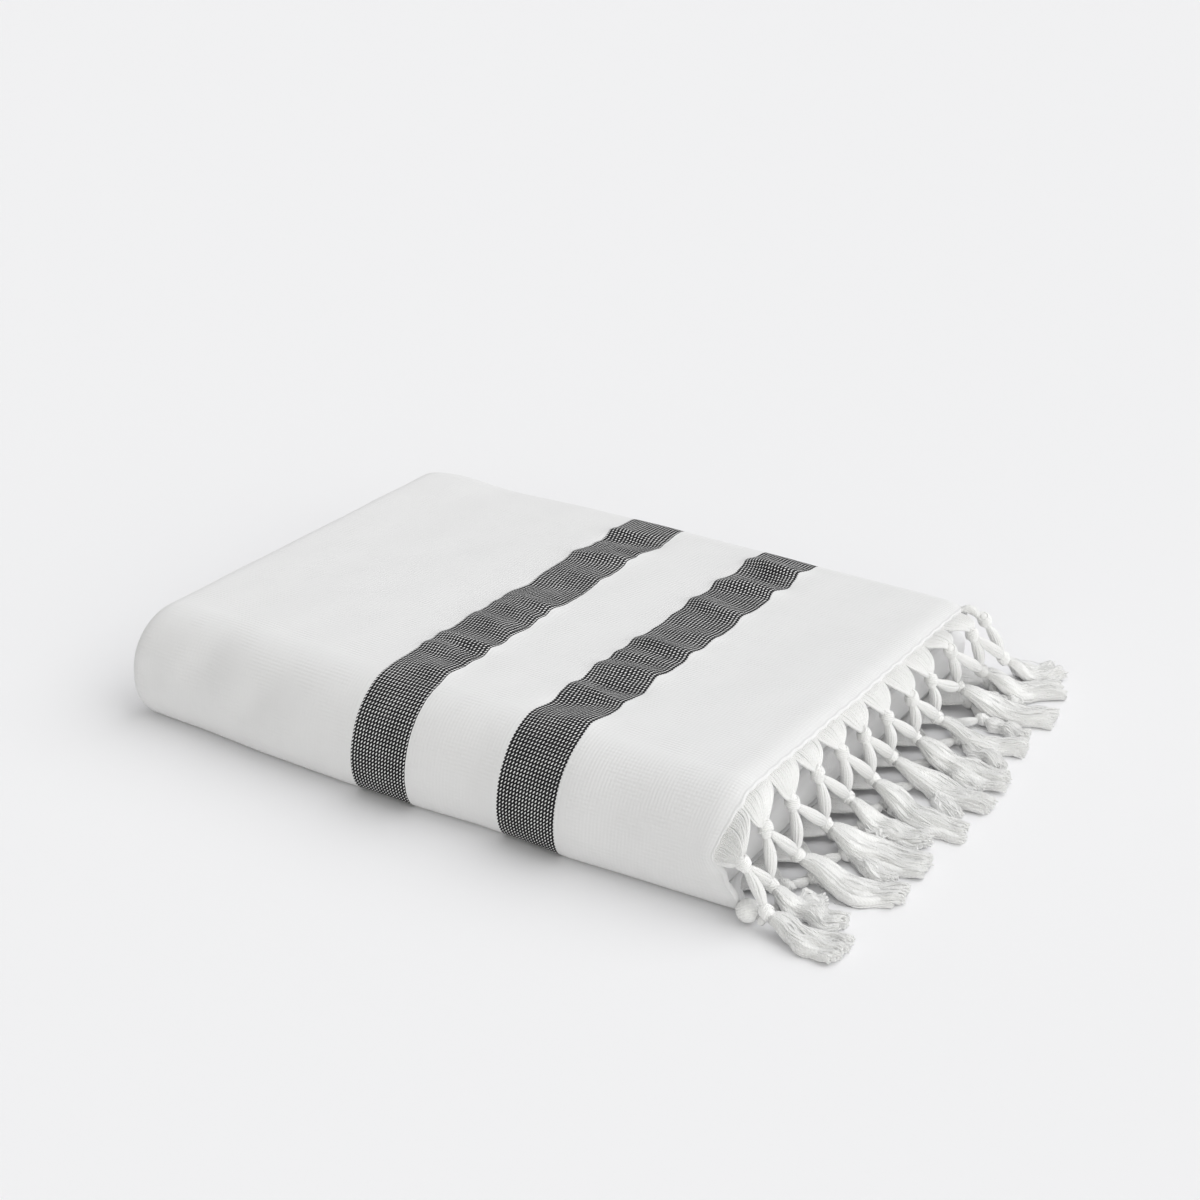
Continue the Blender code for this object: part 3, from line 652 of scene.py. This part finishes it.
tabShape = {
    "yarnGap": 0.00128, "radius": 0.00084, "stations": 15, "between": 0.0005,
    "rootLift": 0.0003, "rootInset": 0.0016, "gather": 0.0042, "knotGap": 0.0030,
    "leave": 0.40, "leaveLess": 0.12, "reach": 0.30, "curl": 0.45, "stray": 0.00020,
    "underSink": 0.0009, "underInset": 0.03, "underFewer": 4,       # the second, lower set
    "upper": {"arrive": (0.25, 0.0, -1.0), "lift": 0.10, "full": 0.62},
    "lower": {"arrive": (1.0, 0.0, -0.10), "lift": -0.55, "full": 0.80},
}


def tab(edgePath, normalPath, start, end, knot, seed, kind):
    # Fan of yarns: cubic curves that leave the cloth's edge straight, keep most of the tab's
    # width, and gather at the knot. A second, lower set fills the gaps between them.
    t = tabShape
    arrive = unit(np.array(kind["arrive"]))
    start, end = start + t["between"], end - t["between"]
    draw = np.random.default_rng(seed)
    paths = []
    yarns = int(round(abs(end - start) / t["yarnGap"]))
    sets = ((yarns, 0.0, 0.00), (yarns - t["underFewer"], t["underSink"], t["underInset"]))
    for count, sink, inset in sets:
        share = np.linspace(inset, 1 - inset, count)
        root, _ = along(edgePath, start + (end - start) * share)
        normal, _ = along(normalPath, start + (end - start) * share)
        normal = unit(normal)
        curl = (np.abs(share - 0.5) * 2)[:, None] ** 2
        root = root + normal * (t["rootLift"] - sink) - [t["rootInset"], 0, 0]
        across = root - root.mean(axis=0)
        side = unit(across[:1] - across[-1:])
        goal = knot - side * ((share - 0.5) * t["gather"])[:, None] - arrive * t["knotGap"]
        goal = goal - normal * sink * 0.5
        gap = np.linalg.norm(goal - root, axis=1)[:, None]
        out = np.array([1.0, 0, 0]) + normal * (kind["lift"] - t["curl"] * curl)
        p1 = root + unit(out) * gap * (t["leave"] - t["leaveLess"] * curl)
        p2 = goal - arrive * gap * t["reach"] + (across - across.mean(axis=0)) * kind["full"]
        path = bezier(root, p1, p2, goal, t["stations"])
        arch = np.sin(np.linspace(0, math.pi, t["stations"]))[None, :, None]
        path += arch * draw.normal(0, t["stray"], (count, 1, 3))
        paths.append(path)
    return np.concatenate(paths)


strandShape = {
    "yarns": 13, "radius": 0.00098, "stations": 15, "wide": 0.0036, "thin": 0.0030,
    "neck": 0.40, "knotGap": 0.0040, "fullness": 0.7, "stray": 0.07, "core": 0.78,
}


def strand(start, end, bow, wide, twist, seed):
    # Bundle of yarns round a soft core: the section swells from its necks as a root of a
    # sine, and the yarns turn about its axis. The last path is the core's.
    t = strandShape
    count, stations = t["yarns"], t["stations"]
    draw = np.random.default_rng(seed)
    s = np.linspace(0, 1, stations)
    axis = unit(end - start)
    start, end = start + axis * t["knotGap"], end - axis * t["knotGap"]
    first = unit(np.cross(axis, [0.3, 0.9, 0.3]))
    second = np.cross(axis, first)
    centre = start + (end - start) * s[:, None] + np.array(bow) * (4 * s * (1 - s))[:, None]
    spread = wide * (t["neck"] + (1 - t["neck"]) * np.sin(math.pi * s) ** t["fullness"])
    angle = math.tau * np.arange(count) / count + draw.uniform(0, 6)
    turn = angle[:, None] + twist * s + draw.normal(0, t["stray"], (count, 1))
    reach = spread - t["radius"] * 0.9
    paths = around(centre, reach, turn, first, second)
    radii = np.full((count, stations), t["radius"])
    return (paths, radii), (centre[None], (spread * t["core"])[None])


knotShape = {
    "yarns": 5, "radius": 0.00080, "stations": 24, "long": 0.0060, "wide": 0.0040,
    "pitch": 0.00116, "overlap": 1.04, "coreLong": 0.92, "coreWide": 0.88,
    "collars": ((-0.0014, 0.0018, 0.0, 0.0006),     # place, tilt, direction, fullness
                (0.0028, 0.0014, 2.3, -0.0002)),
}


def knotRings(centre, axis, turn, scale=1.0):
    # A tight overhand knot: two slanting collars of yarns round a bead. Every yarn is a ring
    # on an ellipsoid whose height along the axis goes with the cosine of its angle.
    k = knotShape
    count, stations = k["yarns"], k["stations"]
    axis = unit(np.array(axis, float))
    side = unit(np.cross(axis, [0.31, 0.42, 0.85]))
    face = np.cross(axis, side)
    t = np.linspace(0, math.tau * k["overlap"], stations)
    place = (np.arange(count) - (count - 1) / 2)[:, None]
    rings = []
    for middle, tilt, phase, rise in k["collars"]:
        height = middle + place * k["pitch"] + tilt * np.cos(t - phase - turn)
        reach = k["wide"] * np.sqrt(np.maximum(1 - (height / k["long"]) ** 2, 0.12))
        reach = (reach + rise - k["radius"]) * scale
        middles = centre + (height * scale)[..., None] * axis
        rings.append(around(middles, reach, t + turn, side, face))
    rings = np.concatenate(rings)
    s = np.linspace(-1, 1, stations)
    core = centre + (s * k["long"] * k["coreLong"] * scale)[:, None] * axis
    bead = k["wide"] * k["coreWide"] * scale * np.sqrt(np.maximum(1 - s ** 2, 0.02))
    return (rings, np.full(rings.shape[:2], k["radius"] * scale)), (core[None], bead[None])


tasselShape = {
    "stations": 18, "radius": 0.00064, "sway": 0.0024, "ripple": 0.0010, "swell": 0.09,
    "flareAt": (0, 0.08, 0.24, 0.50, 0.80, 1.0),
    "thickAt": (0, 0.10, 0.32, 0.60, 1.0), "thick": (0.38, 0.62, 0.72, 0.60, 0.46),
    "drift": (0.0011, 0.0006), "driftWaves": (0.9, 1.9, 3.1), "twist": 1.6, "slant": 0.05,
    "crinkle": 0.00055, "crinkleWaves": (1.7, 3.3, 5.2),
    "raggedEnd": 0.0007, "coreShort": 0.0012, "core": 1.12,
    "locks": (      # where they lie in the flat section: across it, up through it
        (-0.82, -0.45), (-0.42, -0.55), (0.0, -0.50), (0.42, -0.55), (0.82, -0.45),
        (-0.62, 0.42), (-0.20, 0.60), (0.22, 0.55), (0.62, 0.40)),
    "lockReach": (0.80, 0.55), "lockSize": (0.29, 0.68, 0.0003),    # the same two ways
    "rest": (0.66, 0.10),       # the middle's height where it lies, and how much less at the tip
    "upper": {"height": 0.0062, "fall": 0.50, "yarns": 16, "loose": 12,
              "flare": (0.26, 0.46, 0.80, 0.95, 0.97, 1.00)},
}
tasselShape["front"] = {**tasselShape["upper"], "flare": (0.20, 0.34, 0.56, 0.76, 0.92, 1.10)}
tasselShape["lower"] = {**tasselShape["upper"], "height": 0.0050, "fall": 0.4, "yarns": 12,
                        "loose": 5}


def waver(draw, s, waves, shape):
    # Sum of sine waves with random phases and random heights, lower where they are shorter.
    total = 0
    for wave in waves:
        total = total + draw.normal(0, 1 / wave, shape) * np.sin(
            math.tau * wave * s + draw.uniform(0, 6.28, shape))
    return total


def tassel(knot, tip, spread, seed, kind):
    # Locks of loose yarns from a knot to a blunt end. The tassel's middle falls in a smooth
    # step to lie on the floor, and sways sideways; its section is a flat ellipse that flares
    # from the knot. Each lock keeps its place there, wanders, and carries a ring of yarns.
    t = tasselShape
    stations, count, height = t["stations"], kind["yarns"], kind["height"]
    draw = np.random.default_rng(seed)
    s = np.linspace(0, 1, stations) ** 1.05
    way = np.array([tip[0] - knot[0], tip[1] - knot[1], 0.0])
    length = np.linalg.norm(way)
    forward = way / length
    side = np.array([-forward[1], forward[0], 0])
    fall = ease(s, 0, kind["fall"])
    rest, less = t["rest"]
    z = knot[2] + (height * (rest - less * s) - knot[2]) * fall
    phase, bends = draw.uniform(0, 6.28), draw.uniform(0.9, 1.4)
    sway = (t["sway"] * np.sin(math.tau * bends * s + phase)
            * np.clip(s * 3, 0, 1) * (1 - 0.5 * s))
    ripple = (t["ripple"] * np.sin(math.tau * (bends + 0.8) * s + 2 * phase)
              * ease(s, 0.2, 0.6))
    wide = spread * np.interp(s, t["flareAt"], kind["flare"])
    wide = wide * (1 + t["swell"] * np.sin(math.tau * 1.3 * s + 2.2 * phase))
    thick = height * np.interp(s, t["thickAt"], t["thick"])
    slant = draw.uniform(-t["slant"], t["slant"])
    reachAcross, reachUp = t["lockReach"]
    lockWide, lockHigh, lockMore = t["lockSize"]
    yarns, yarnRadii, cores, coreRadii = [], [], [], []
    for across, up in t["locks"]:
        drift = waver(draw, s[:, None], t["driftWaves"], 2)
        drift *= np.clip(s * 2.2, 0, 1)[:, None] * t["drift"]
        reach = 1 + slant * across + draw.normal(0, 0.02)
        ahead = s * length * (1 + (reach - 1) * s)
        middle = (np.array(knot) * [1, 1, 0] + ahead[:, None] * forward
                  + (across * wide * reachAcross + drift[:, 0] + sway)[:, None] * side)
        middle[:, 2] = z + up * thick * reachUp + drift[:, 1] + ripple
        radius = np.minimum(wide * lockWide, thick * lockHigh) + lockMore
        middle[:, 2] = np.maximum(middle[:, 2], radius * 0.8)
        angle = math.tau * np.arange(count) / count + draw.uniform(0, 6.28)
        turn = (angle[:, None] + draw.uniform(-t["twist"], t["twist"]) * s
                + draw.normal(0, 0.10, (count, 1)))
        crinkle = waver(draw, s[None, :, None], t["crinkleWaves"], (count, 1, 2))
        crinkle *= t["crinkle"] * np.clip(s * 2.5, 0, 1)[None, :, None]
        ring = middle + (radius * np.cos(turn) + crinkle[..., 0])[..., None] * side
        ring[..., 2] += radius * np.sin(turn) + crinkle[..., 1]
        ring += (s ** 6 * draw.normal(0, t["raggedEnd"], (count, 1)))[..., None] * forward
        yarns.append(ring)
        yarnRadii.append(np.full(ring.shape[:2], t["radius"]))
        cores.append(middle - forward * (s ** 6 * t["coreShort"])[:, None])
        coreRadii.append(radius * t["core"])
    return ((np.concatenate(yarns), np.concatenate(yarnRadii)),
            (np.stack(cores), np.stack(coreRadii)))


ballShape = {
    "centre": (0.4338, 0.0046, 0.0074), "radius": 0.0069, "yarns": 15, "yarnRadius": 0.00125,
    "stations": 24, "swirl": 1.5, "coreLong": 0.84, "coreWide": 0.80,
}


def ball():
    # A tab gathered into a ball: yarns run from pole to pole of a sphere with a slight swirl.
    b = ballShape
    centre, radius, count, stations = np.array(b["centre"]), b["radius"], b["yarns"], b["stations"]
    axis = unit(np.array([1.0, -0.10, -0.30]))
    first = unit(np.cross(axis, [0, 1.0, 0]))
    second = np.cross(axis, first)
    pole = np.linspace(0.10, 0.95, stations) * math.pi
    turn = math.tau * np.arange(count)[:, None] / count + b["swirl"] * np.cos(pole)
    reach = radius - b["yarnRadius"]
    paths = centre + reach * (-np.cos(pole)[None, :, None] * axis
                              + (np.sin(pole) * np.cos(turn))[..., None] * first
                              + (np.sin(pole) * np.sin(turn))[..., None] * second)
    s = np.linspace(-1, 1, stations)
    core = centre + (s * radius * b["coreLong"])[:, None] * axis
    bead = radius * b["coreWide"] * np.sqrt(np.maximum(1 - s ** 2, 0.01))
    return (paths, np.full((count, stations), b["yarnRadius"])), (core[None], bead[None])


looseShape = {"radius": 0.00018, "bow": (0.0026, 0.0030, 0.0014), "bends": (0.8, 1.5)}


def looseThreads(paths, count, seed):
    # Thin stray threads: some yarns' paths bowed away from the bundle as part of a sine.
    draw = np.random.default_rng(seed)
    pick = draw.choice(len(paths), count, replace=False)
    stray = paths[pick][:, ::2].copy()
    s = np.linspace(0, 1, stray.shape[1])[None, :, None]
    bow = draw.normal(0, 1, (count, 1, 3)) * looseShape["bow"]
    bends = draw.uniform(*looseShape["bends"], (count, 1, 1))
    stray += bow * np.sin(math.pi * np.clip(s * bends, 0, 1.25))
    return stray, np.full(stray.shape[:2], looseShape["radius"])


class Fringe:
    # Gathers the yarns of one fringe. The net of tabs, strands and knots is one piece, and
    # each half of the tassels another; the numbers are the sides of each kind of tube.
    sides = {"tabs": 5, "bundles": 5, "cores": 9, "locks": 4, "lockCores": 6, "loose": 3}

    def __init__(self, which):
        self.which = which
        self.tabs = []
        self.yarns = {kind: [] for kind in self.sides}

    def add(self, made):
        # A strand, a knot or the ball: its yarns and its core
        self.yarns["bundles"].append(made[0])
        self.yarns["cores"].append(made[1])

    def addTassel(self, knot, tip, spread, seed, looseSeed, kind):
        # A tassel's locks with their cores, and its loose threads
        made = tassel(knot, tip, spread, seed, tasselShape[kind])
        self.yarns["locks"].append(made[0])
        self.yarns["lockCores"].append(made[1])
        loose = looseThreads(made[0][0], tasselShape[kind]["loose"], looseSeed)
        self.yarns["loose"].append(loose)

    def finish(self, material):
        tabs = np.concatenate(self.tabs)
        self.yarns["tabs"].append((tabs, np.full(tabs.shape[:2], tabShape["radius"])))
        half = (len(self.yarns["locks"]) + 1) // 2
        pieces = []
        for label, kinds, low, high in (
                ("net", ("tabs", "bundles", "cores"), 0, None),
                ("tasselsBack", ("locks", "lockCores", "loose"), 0, half),
                ("tasselsFront", ("locks", "lockCores", "loose"), half, None)):
            made = [tubes(*pair, self.sides[kind])
                    for kind in kinds for pair in self.yarns[kind][low:high]]
            piece = meshPiece(f"fringe_{self.which}_{label}", *joined(made), material,
                              "white_fringe_yarn")
            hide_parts(f"fringe_{self.which}")
            pieces.append(piece)
        return pieces


upperNet = {
    "splitRow": 16, "pastBack": 3,          # rows of the cloth where its edge starts and ends
    "lead": 0.006, "pitch": 0.0294, "twist": 0.9, "tasselGap": 0.0030, "fall": 2.5,
    "bow": (0.0012, 0, 0), "crossBow": (0.0040, 0, -0.001),
    # two extra strands: from the back corner, and from the ball to the last second knot
    "cornerShift": (0.006, 0.001, -0.001), "cornerBow": (0.001, 0.001, 0.003),
    "ballShift": (0.0052, -0.0004, -0.0020), "tieShift": (0.002, -0.001, -0.0035),
    "ballBow": (0.0, -0.0010, -0.0008),
    "rows": (   # from the back: first knot, second knot, tassel tip, its spread
        (0.4310, 0.325, 0.049, 0.4430, 0.334, 0.0210, 0.466, 0.370, 0.0110),
        (0.4320, 0.303, 0.048, 0.4360, 0.314, 0.0190, 0.480, 0.345, 0.0115),
        (0.4310, 0.271, 0.050, 0.4320, 0.285, 0.0195, 0.490, 0.307, 0.0120),
        (0.4320, 0.241, 0.043, 0.4370, 0.243, 0.0175, 0.490, 0.259, 0.0085),
        (0.4330, 0.211, 0.044, 0.4360, 0.214, 0.0170, 0.495, 0.216, 0.0120),
        (0.4300, 0.182, 0.044, 0.4340, 0.184, 0.0170, 0.497, 0.186, 0.0105),
        (0.4300, 0.151, 0.046, 0.4360, 0.154, 0.0170, 0.498, 0.147, 0.0105),
        (0.4300, 0.121, 0.049, 0.4340, 0.125, 0.0185, 0.484, 0.127, 0.0095),
        (0.4300, 0.091, 0.049, 0.4370, 0.092, 0.0180, 0.4945, 0.1045, 0.0150),
        (0.4300, 0.060, 0.046, 0.4370, 0.056, 0.0165, 0.496, 0.067, 0.0125),
        (0.4300, 0.029, 0.045, 0.4380, 0.023, 0.0150, 0.480, 0.025, 0.0090),
        (0.4290, 0.006, 0.035, 0.4465, 0.003, 0.0114, 0.492, 0.002, 0.0150)),
}


def makeUpperFringe(edge, outward, counts, material):
    # Tabs hang at an even pitch from the edge to the first knots. From each first knot one
    # strand runs to its own second knot and one to the next, and a tassel leaves from there.
    n, wide, thin = upperNet, strandShape["wide"], strandShape["thin"]
    startRow, endRow = counts["front"] + n["splitRow"], counts["back"] + n["pastBack"]
    path, normals = edge[startRow:endRow][::-1], outward[startRow:endRow][::-1]
    table = np.array(n["rows"])
    knots, ties, tips, spreads = table[:, 0:3], table[:, 3:6], table[:, 6:8], table[:, 8]
    last = len(table) - 1
    starts = n["lead"] + n["pitch"] * np.arange(last + 1)
    corner, starts[last] = along(path, 0.002)
    fringe = Fringe("upper")
    for i in range(last):
        fringe.tabs.append(tab(path, normals, starts[i], starts[i + 1], knots[i + 1], 100 + i,
                               tabShape["upper"]))
    fringe.add(strand(corner - n["cornerShift"], knots[0], n["cornerBow"], thin, 1.4, 90))
    for i in range(last + 1):
        fringe.add(strand(knots[i], ties[i], n["bow"], wide, n["twist"], 200 + i))
        if i < last:
            fringe.add(strand(knots[i + 1], ties[i], n["crossBow"], wide, -n["twist"], 230 + i))
        fringe.add(knotRings(knots[i], ties[i] - knots[i], 1.7 * i))
        way = np.append(tips[i] - ties[i][:2], -n["fall"] * ties[i][2])
        fringe.add(knotRings(ties[i], way, 2.3 * i + 1))
        fringe.addTassel(ties[i] + unit(way) * n["tasselGap"], tips[i], spreads[i], 300 + i,
                         330 + i, "front" if i == last else "upper")
    fringe.add(ball())
    fringe.add(strand(np.array(ballShape["centre"]) + n["ballShift"],
                      ties[last] + n["tieShift"], n["ballBow"], thin, 0.8, 95))
    return fringe.finish(material)


lowerNet = {
    "start": 0.010, "scale": 0.90, "knotX": 0.4375, "knotWave": 0.0016, "knotZ": 0.0046,
    "tieX": 0.4525, "tieWave": 0.0015, "tieZ": 0.0044, "tipGap": 0.0165, "twist": 0.8,
    "bow": (0.0010, 0, -0.0004), "ballShift": (0.006, 0.004, -0.003), "tasselShift": (0.002, 0, 0),
    "tips": (   # from the front: tip x, tip y, spread
        (0.461, 0.0435, 0.0050), (0.464, 0.061, 0.0048), (0.484, 0.080, 0.0056),
        (0.463, 0.117, 0.0048), (0.464, 0.146, 0.0048), (0.486, 0.165, 0.0052),
        (0.484, 0.197, 0.0052), (0.486, 0.233, 0.0064), (0.484, 0.276, 0.0070),
        (0.465, 0.313, 0.0048)),
}


def makeLowerFringe(edge, outward, counts, material):
    # Tabs lie at an even pitch from the lowest layer's edge to their knots. The tie between
    # two knots carries a strand from each of them and a tassel; sines vary the places.
    n = lowerNet
    path, normals = edge[:counts["front"]][::-1], outward[:counts["front"]][::-1]
    total = along(path, 0.0)[1]
    pitch = (total - n["start"]) / len(n["tips"])
    fringe = Fringe("lower")
    knots = [np.array(ballShape["centre"]) + n["ballShift"]]
    for i in range(len(n["tips"])):
        root, _ = along(path, n["start"] + pitch * (i + 0.5))
        knot = np.array([n["knotX"] + n["knotWave"] * math.sin(2.4 * i), root[1], n["knotZ"]])
        knots.append(knot)
        start, end = n["start"] + pitch * i, n["start"] + pitch * (i + 1)
        fringe.tabs.append(tab(path, normals, start, end, knot, 400 + i, tabShape["lower"]))
        fringe.add(knotRings(knot, (1, 0.1, 0), 1.9 * i, n["scale"]))
    for i, (tipX, tipY, spread) in enumerate(n["tips"]):
        tie = (knots[i] + knots[i + 1]) / 2
        tie[0] = min(n["tieX"] + n["tieWave"] * math.sin(1.7 * i), tipX - n["tipGap"])
        tie[2] = n["tieZ"]
        for knot in (knots[i], knots[i + 1]):
            fringe.add(strand(knot, tie, n["bow"], strandShape["thin"], n["twist"], 500 + i))
        fringe.add(knotRings(tie, (1, 0, 0), 2.1 * i, n["scale"]))
        fringe.addTassel(tie + n["tasselShift"], (tipX, tipY), spread, 530 + i, 560 + i, "lower")
    return fringe.finish(material)


thread = {
    # shade is the warm colour of the painted shade in the ply's grooves; the random patches also
    # reach it
    "white": (0.940, 0.940, 0.938, 1), "shade": (0.892, 0.892, 0.883, 1),
    "ply": 0.0021, "fuzz": 3200.0, "patch": 420.0, "plyGrooveShade": 0.45, "patchTone": 0.4,
    "roughness": 0.88, "bump": 0.00014, "sheen": 0.45,
}


def yarnMaterial():
    # Soft two-ply cotton: the ply's grooves are sine waves that slant round the yarn. The colour
    # turns towards a warm shade in the grooves as painted shade, and random patches mottle it.
    t = thread
    m = Maker(bpy.data.materials.new("white cotton yarn"))
    run, turn = m.split(m.node("ShaderNodeUVMap", {"uv_map": uvName}), 0, 1)
    groove = (run * (math.tau / t["ply"]) + turn * (2 * math.tau)).math("SINE")
    place = m.node("ShaderNodeTexCoord", None, (), 3)       # Object coordinates
    fuzz = m.noise("3D", place, t["fuzz"], 3.0)
    patch = m.noise("3D", place, t["patch"], 2.0)
    # Painted shade: darker towards the warm shade colour in the ply's grooves; the patches are a
    # random mottle
    grooveShadeAndMottle = (0.5 - groove * 0.5) * t["plyGrooveShade"] + patch * t["patchTone"]
    colour = m.mix(grooveShadeAndMottle, t["white"], t["shade"])
    return m.finish(colour, groove * 0.5 + fuzz, t)


towel, edge, outward, counts = makeCloth(clothMaterial())
print("cloth done")
yarnFinish = yarnMaterial()
upper = makeUpperFringe(edge, outward, counts, yarnFinish)
lower = makeLowerFringe(edge, outward, counts, yarnFinish)
print("fringe done")

studio = {
    "floorColour": (0.885, 0.885, 0.90, 1), "floorHalf": 90.0,
    "sky": (1.0, 1.0, 0.995, 1), "skyLow": 0.205, "skyHigh": 0.685, "skyBack": 0.32,
    "haze": 0.88, "hazeTop": 0.07,
    "suns": (       # name, strength, angle across, turn about x, y and z, colour
        ("softKey", 1.335, 1.1, (-0.467, 0.4645, 0.0), (0.995, 0.997, 1.0)),
        ("frontFill", 1.07, 1.0, (1.2226, 1.0738, 0.0), (1.0, 0.995, 0.94)),
        ("sideFill", 0.98, 1.0, (0.242, 1.426, 0.0), (1.0, 0.995, 0.96))),
    "cameraPlace": (0.7025, -1.0999, 0.7028), "yaw": -0.5497, "pitch": 0.4515, "roll": 0.0116,
    "lens": 69.06, "sensor": 36.0, "sight": 250,
}


def makeFloor():
    # One pale square round the object, wide enough to reach the horizon.
    half = studio["floorHalf"]
    mesh = bpy.data.meshes.new("floor")
    corners = [(-half, -half, 0), (half, -half, 0), (half, half, 0), (-half, half, 0)]
    mesh.from_pydata(corners, [], [(0, 1, 2, 3)])
    m = Maker(bpy.data.materials.new("pale floor"))
    shader = m.node("ShaderNodeBsdfPrincipled", None, {
        "Base Color": studio["floorColour"], "Roughness": 0.9, "Specular IOR Level": 0.0})
    m.node("ShaderNodeOutputMaterial", None, {"Surface": shader})
    mesh.materials.append(m.owner)
    floor = newObject("floor", mesh)
    return floor


def makeLight():
    # Sky brighter towards the zenith and the back, with a pale haze along the horizon.
    s = studio
    m = Maker(bpy.data.worlds.new("studio"))
    y, z = m.split(m.node("ShaderNodeTexCoord"), 1, 2)
    sky = m.node("ShaderNodeMapRange", None,
                 {"Value": z, "To Min": s["skyLow"], "To Max": s["skyHigh"]})
    haze = (1 - m.smooth(z, 0.0, s["hazeTop"])) * s["haze"]
    strength = (sky + y * s["skyBack"]).math("MAXIMUM", haze)
    light = m.node("ShaderNodeBackground", None, {"Color": s["sky"], "Strength": strength})
    m.node("ShaderNodeOutputWorld", None, {"Surface": light})
    bpy.context.scene.world = m.owner
    for name, energy, across, tilt, colour in s["suns"]:
        sun = bpy.data.lights.new(name, "SUN")
        sun.energy = energy
        sun.angle = across
        sun.color = colour
        newObject(name, sun).rotation_euler = tilt


def makeCamera():
    # Looks along yaw and pitch, turned by roll about its own line of sight.
    s = studio
    yaw, pitch, roll = s["yaw"], s["pitch"], s["roll"]
    ahead = np.array([math.sin(yaw) * math.cos(pitch), math.cos(yaw) * math.cos(pitch),
                      -math.sin(pitch)])
    right = unit(np.cross(ahead, [0, 0, 1]))
    up = np.cross(right, ahead)
    right, up = (math.cos(roll) * right + math.sin(roll) * up,
                 math.cos(roll) * up - math.sin(roll) * right)
    view = bpy.data.cameras.new("photoView")
    view.lens = s["lens"]
    view.sensor_width = s["sensor"]
    view.clip_end = s["sight"]
    camera = newObject("photoView", view)
    camera.matrix_world = Matrix([[right[k], up[k], -ahead[k], s["cameraPlace"][k]]
                                  for k in range(3)] + [[0, 0, 0, 1]])
    bpy.context.scene.camera = camera


floor = makeFloor()
makeLight()
makeCamera()
bpy.context.scene.view_settings.view_transform = "Standard"
print("scene done")
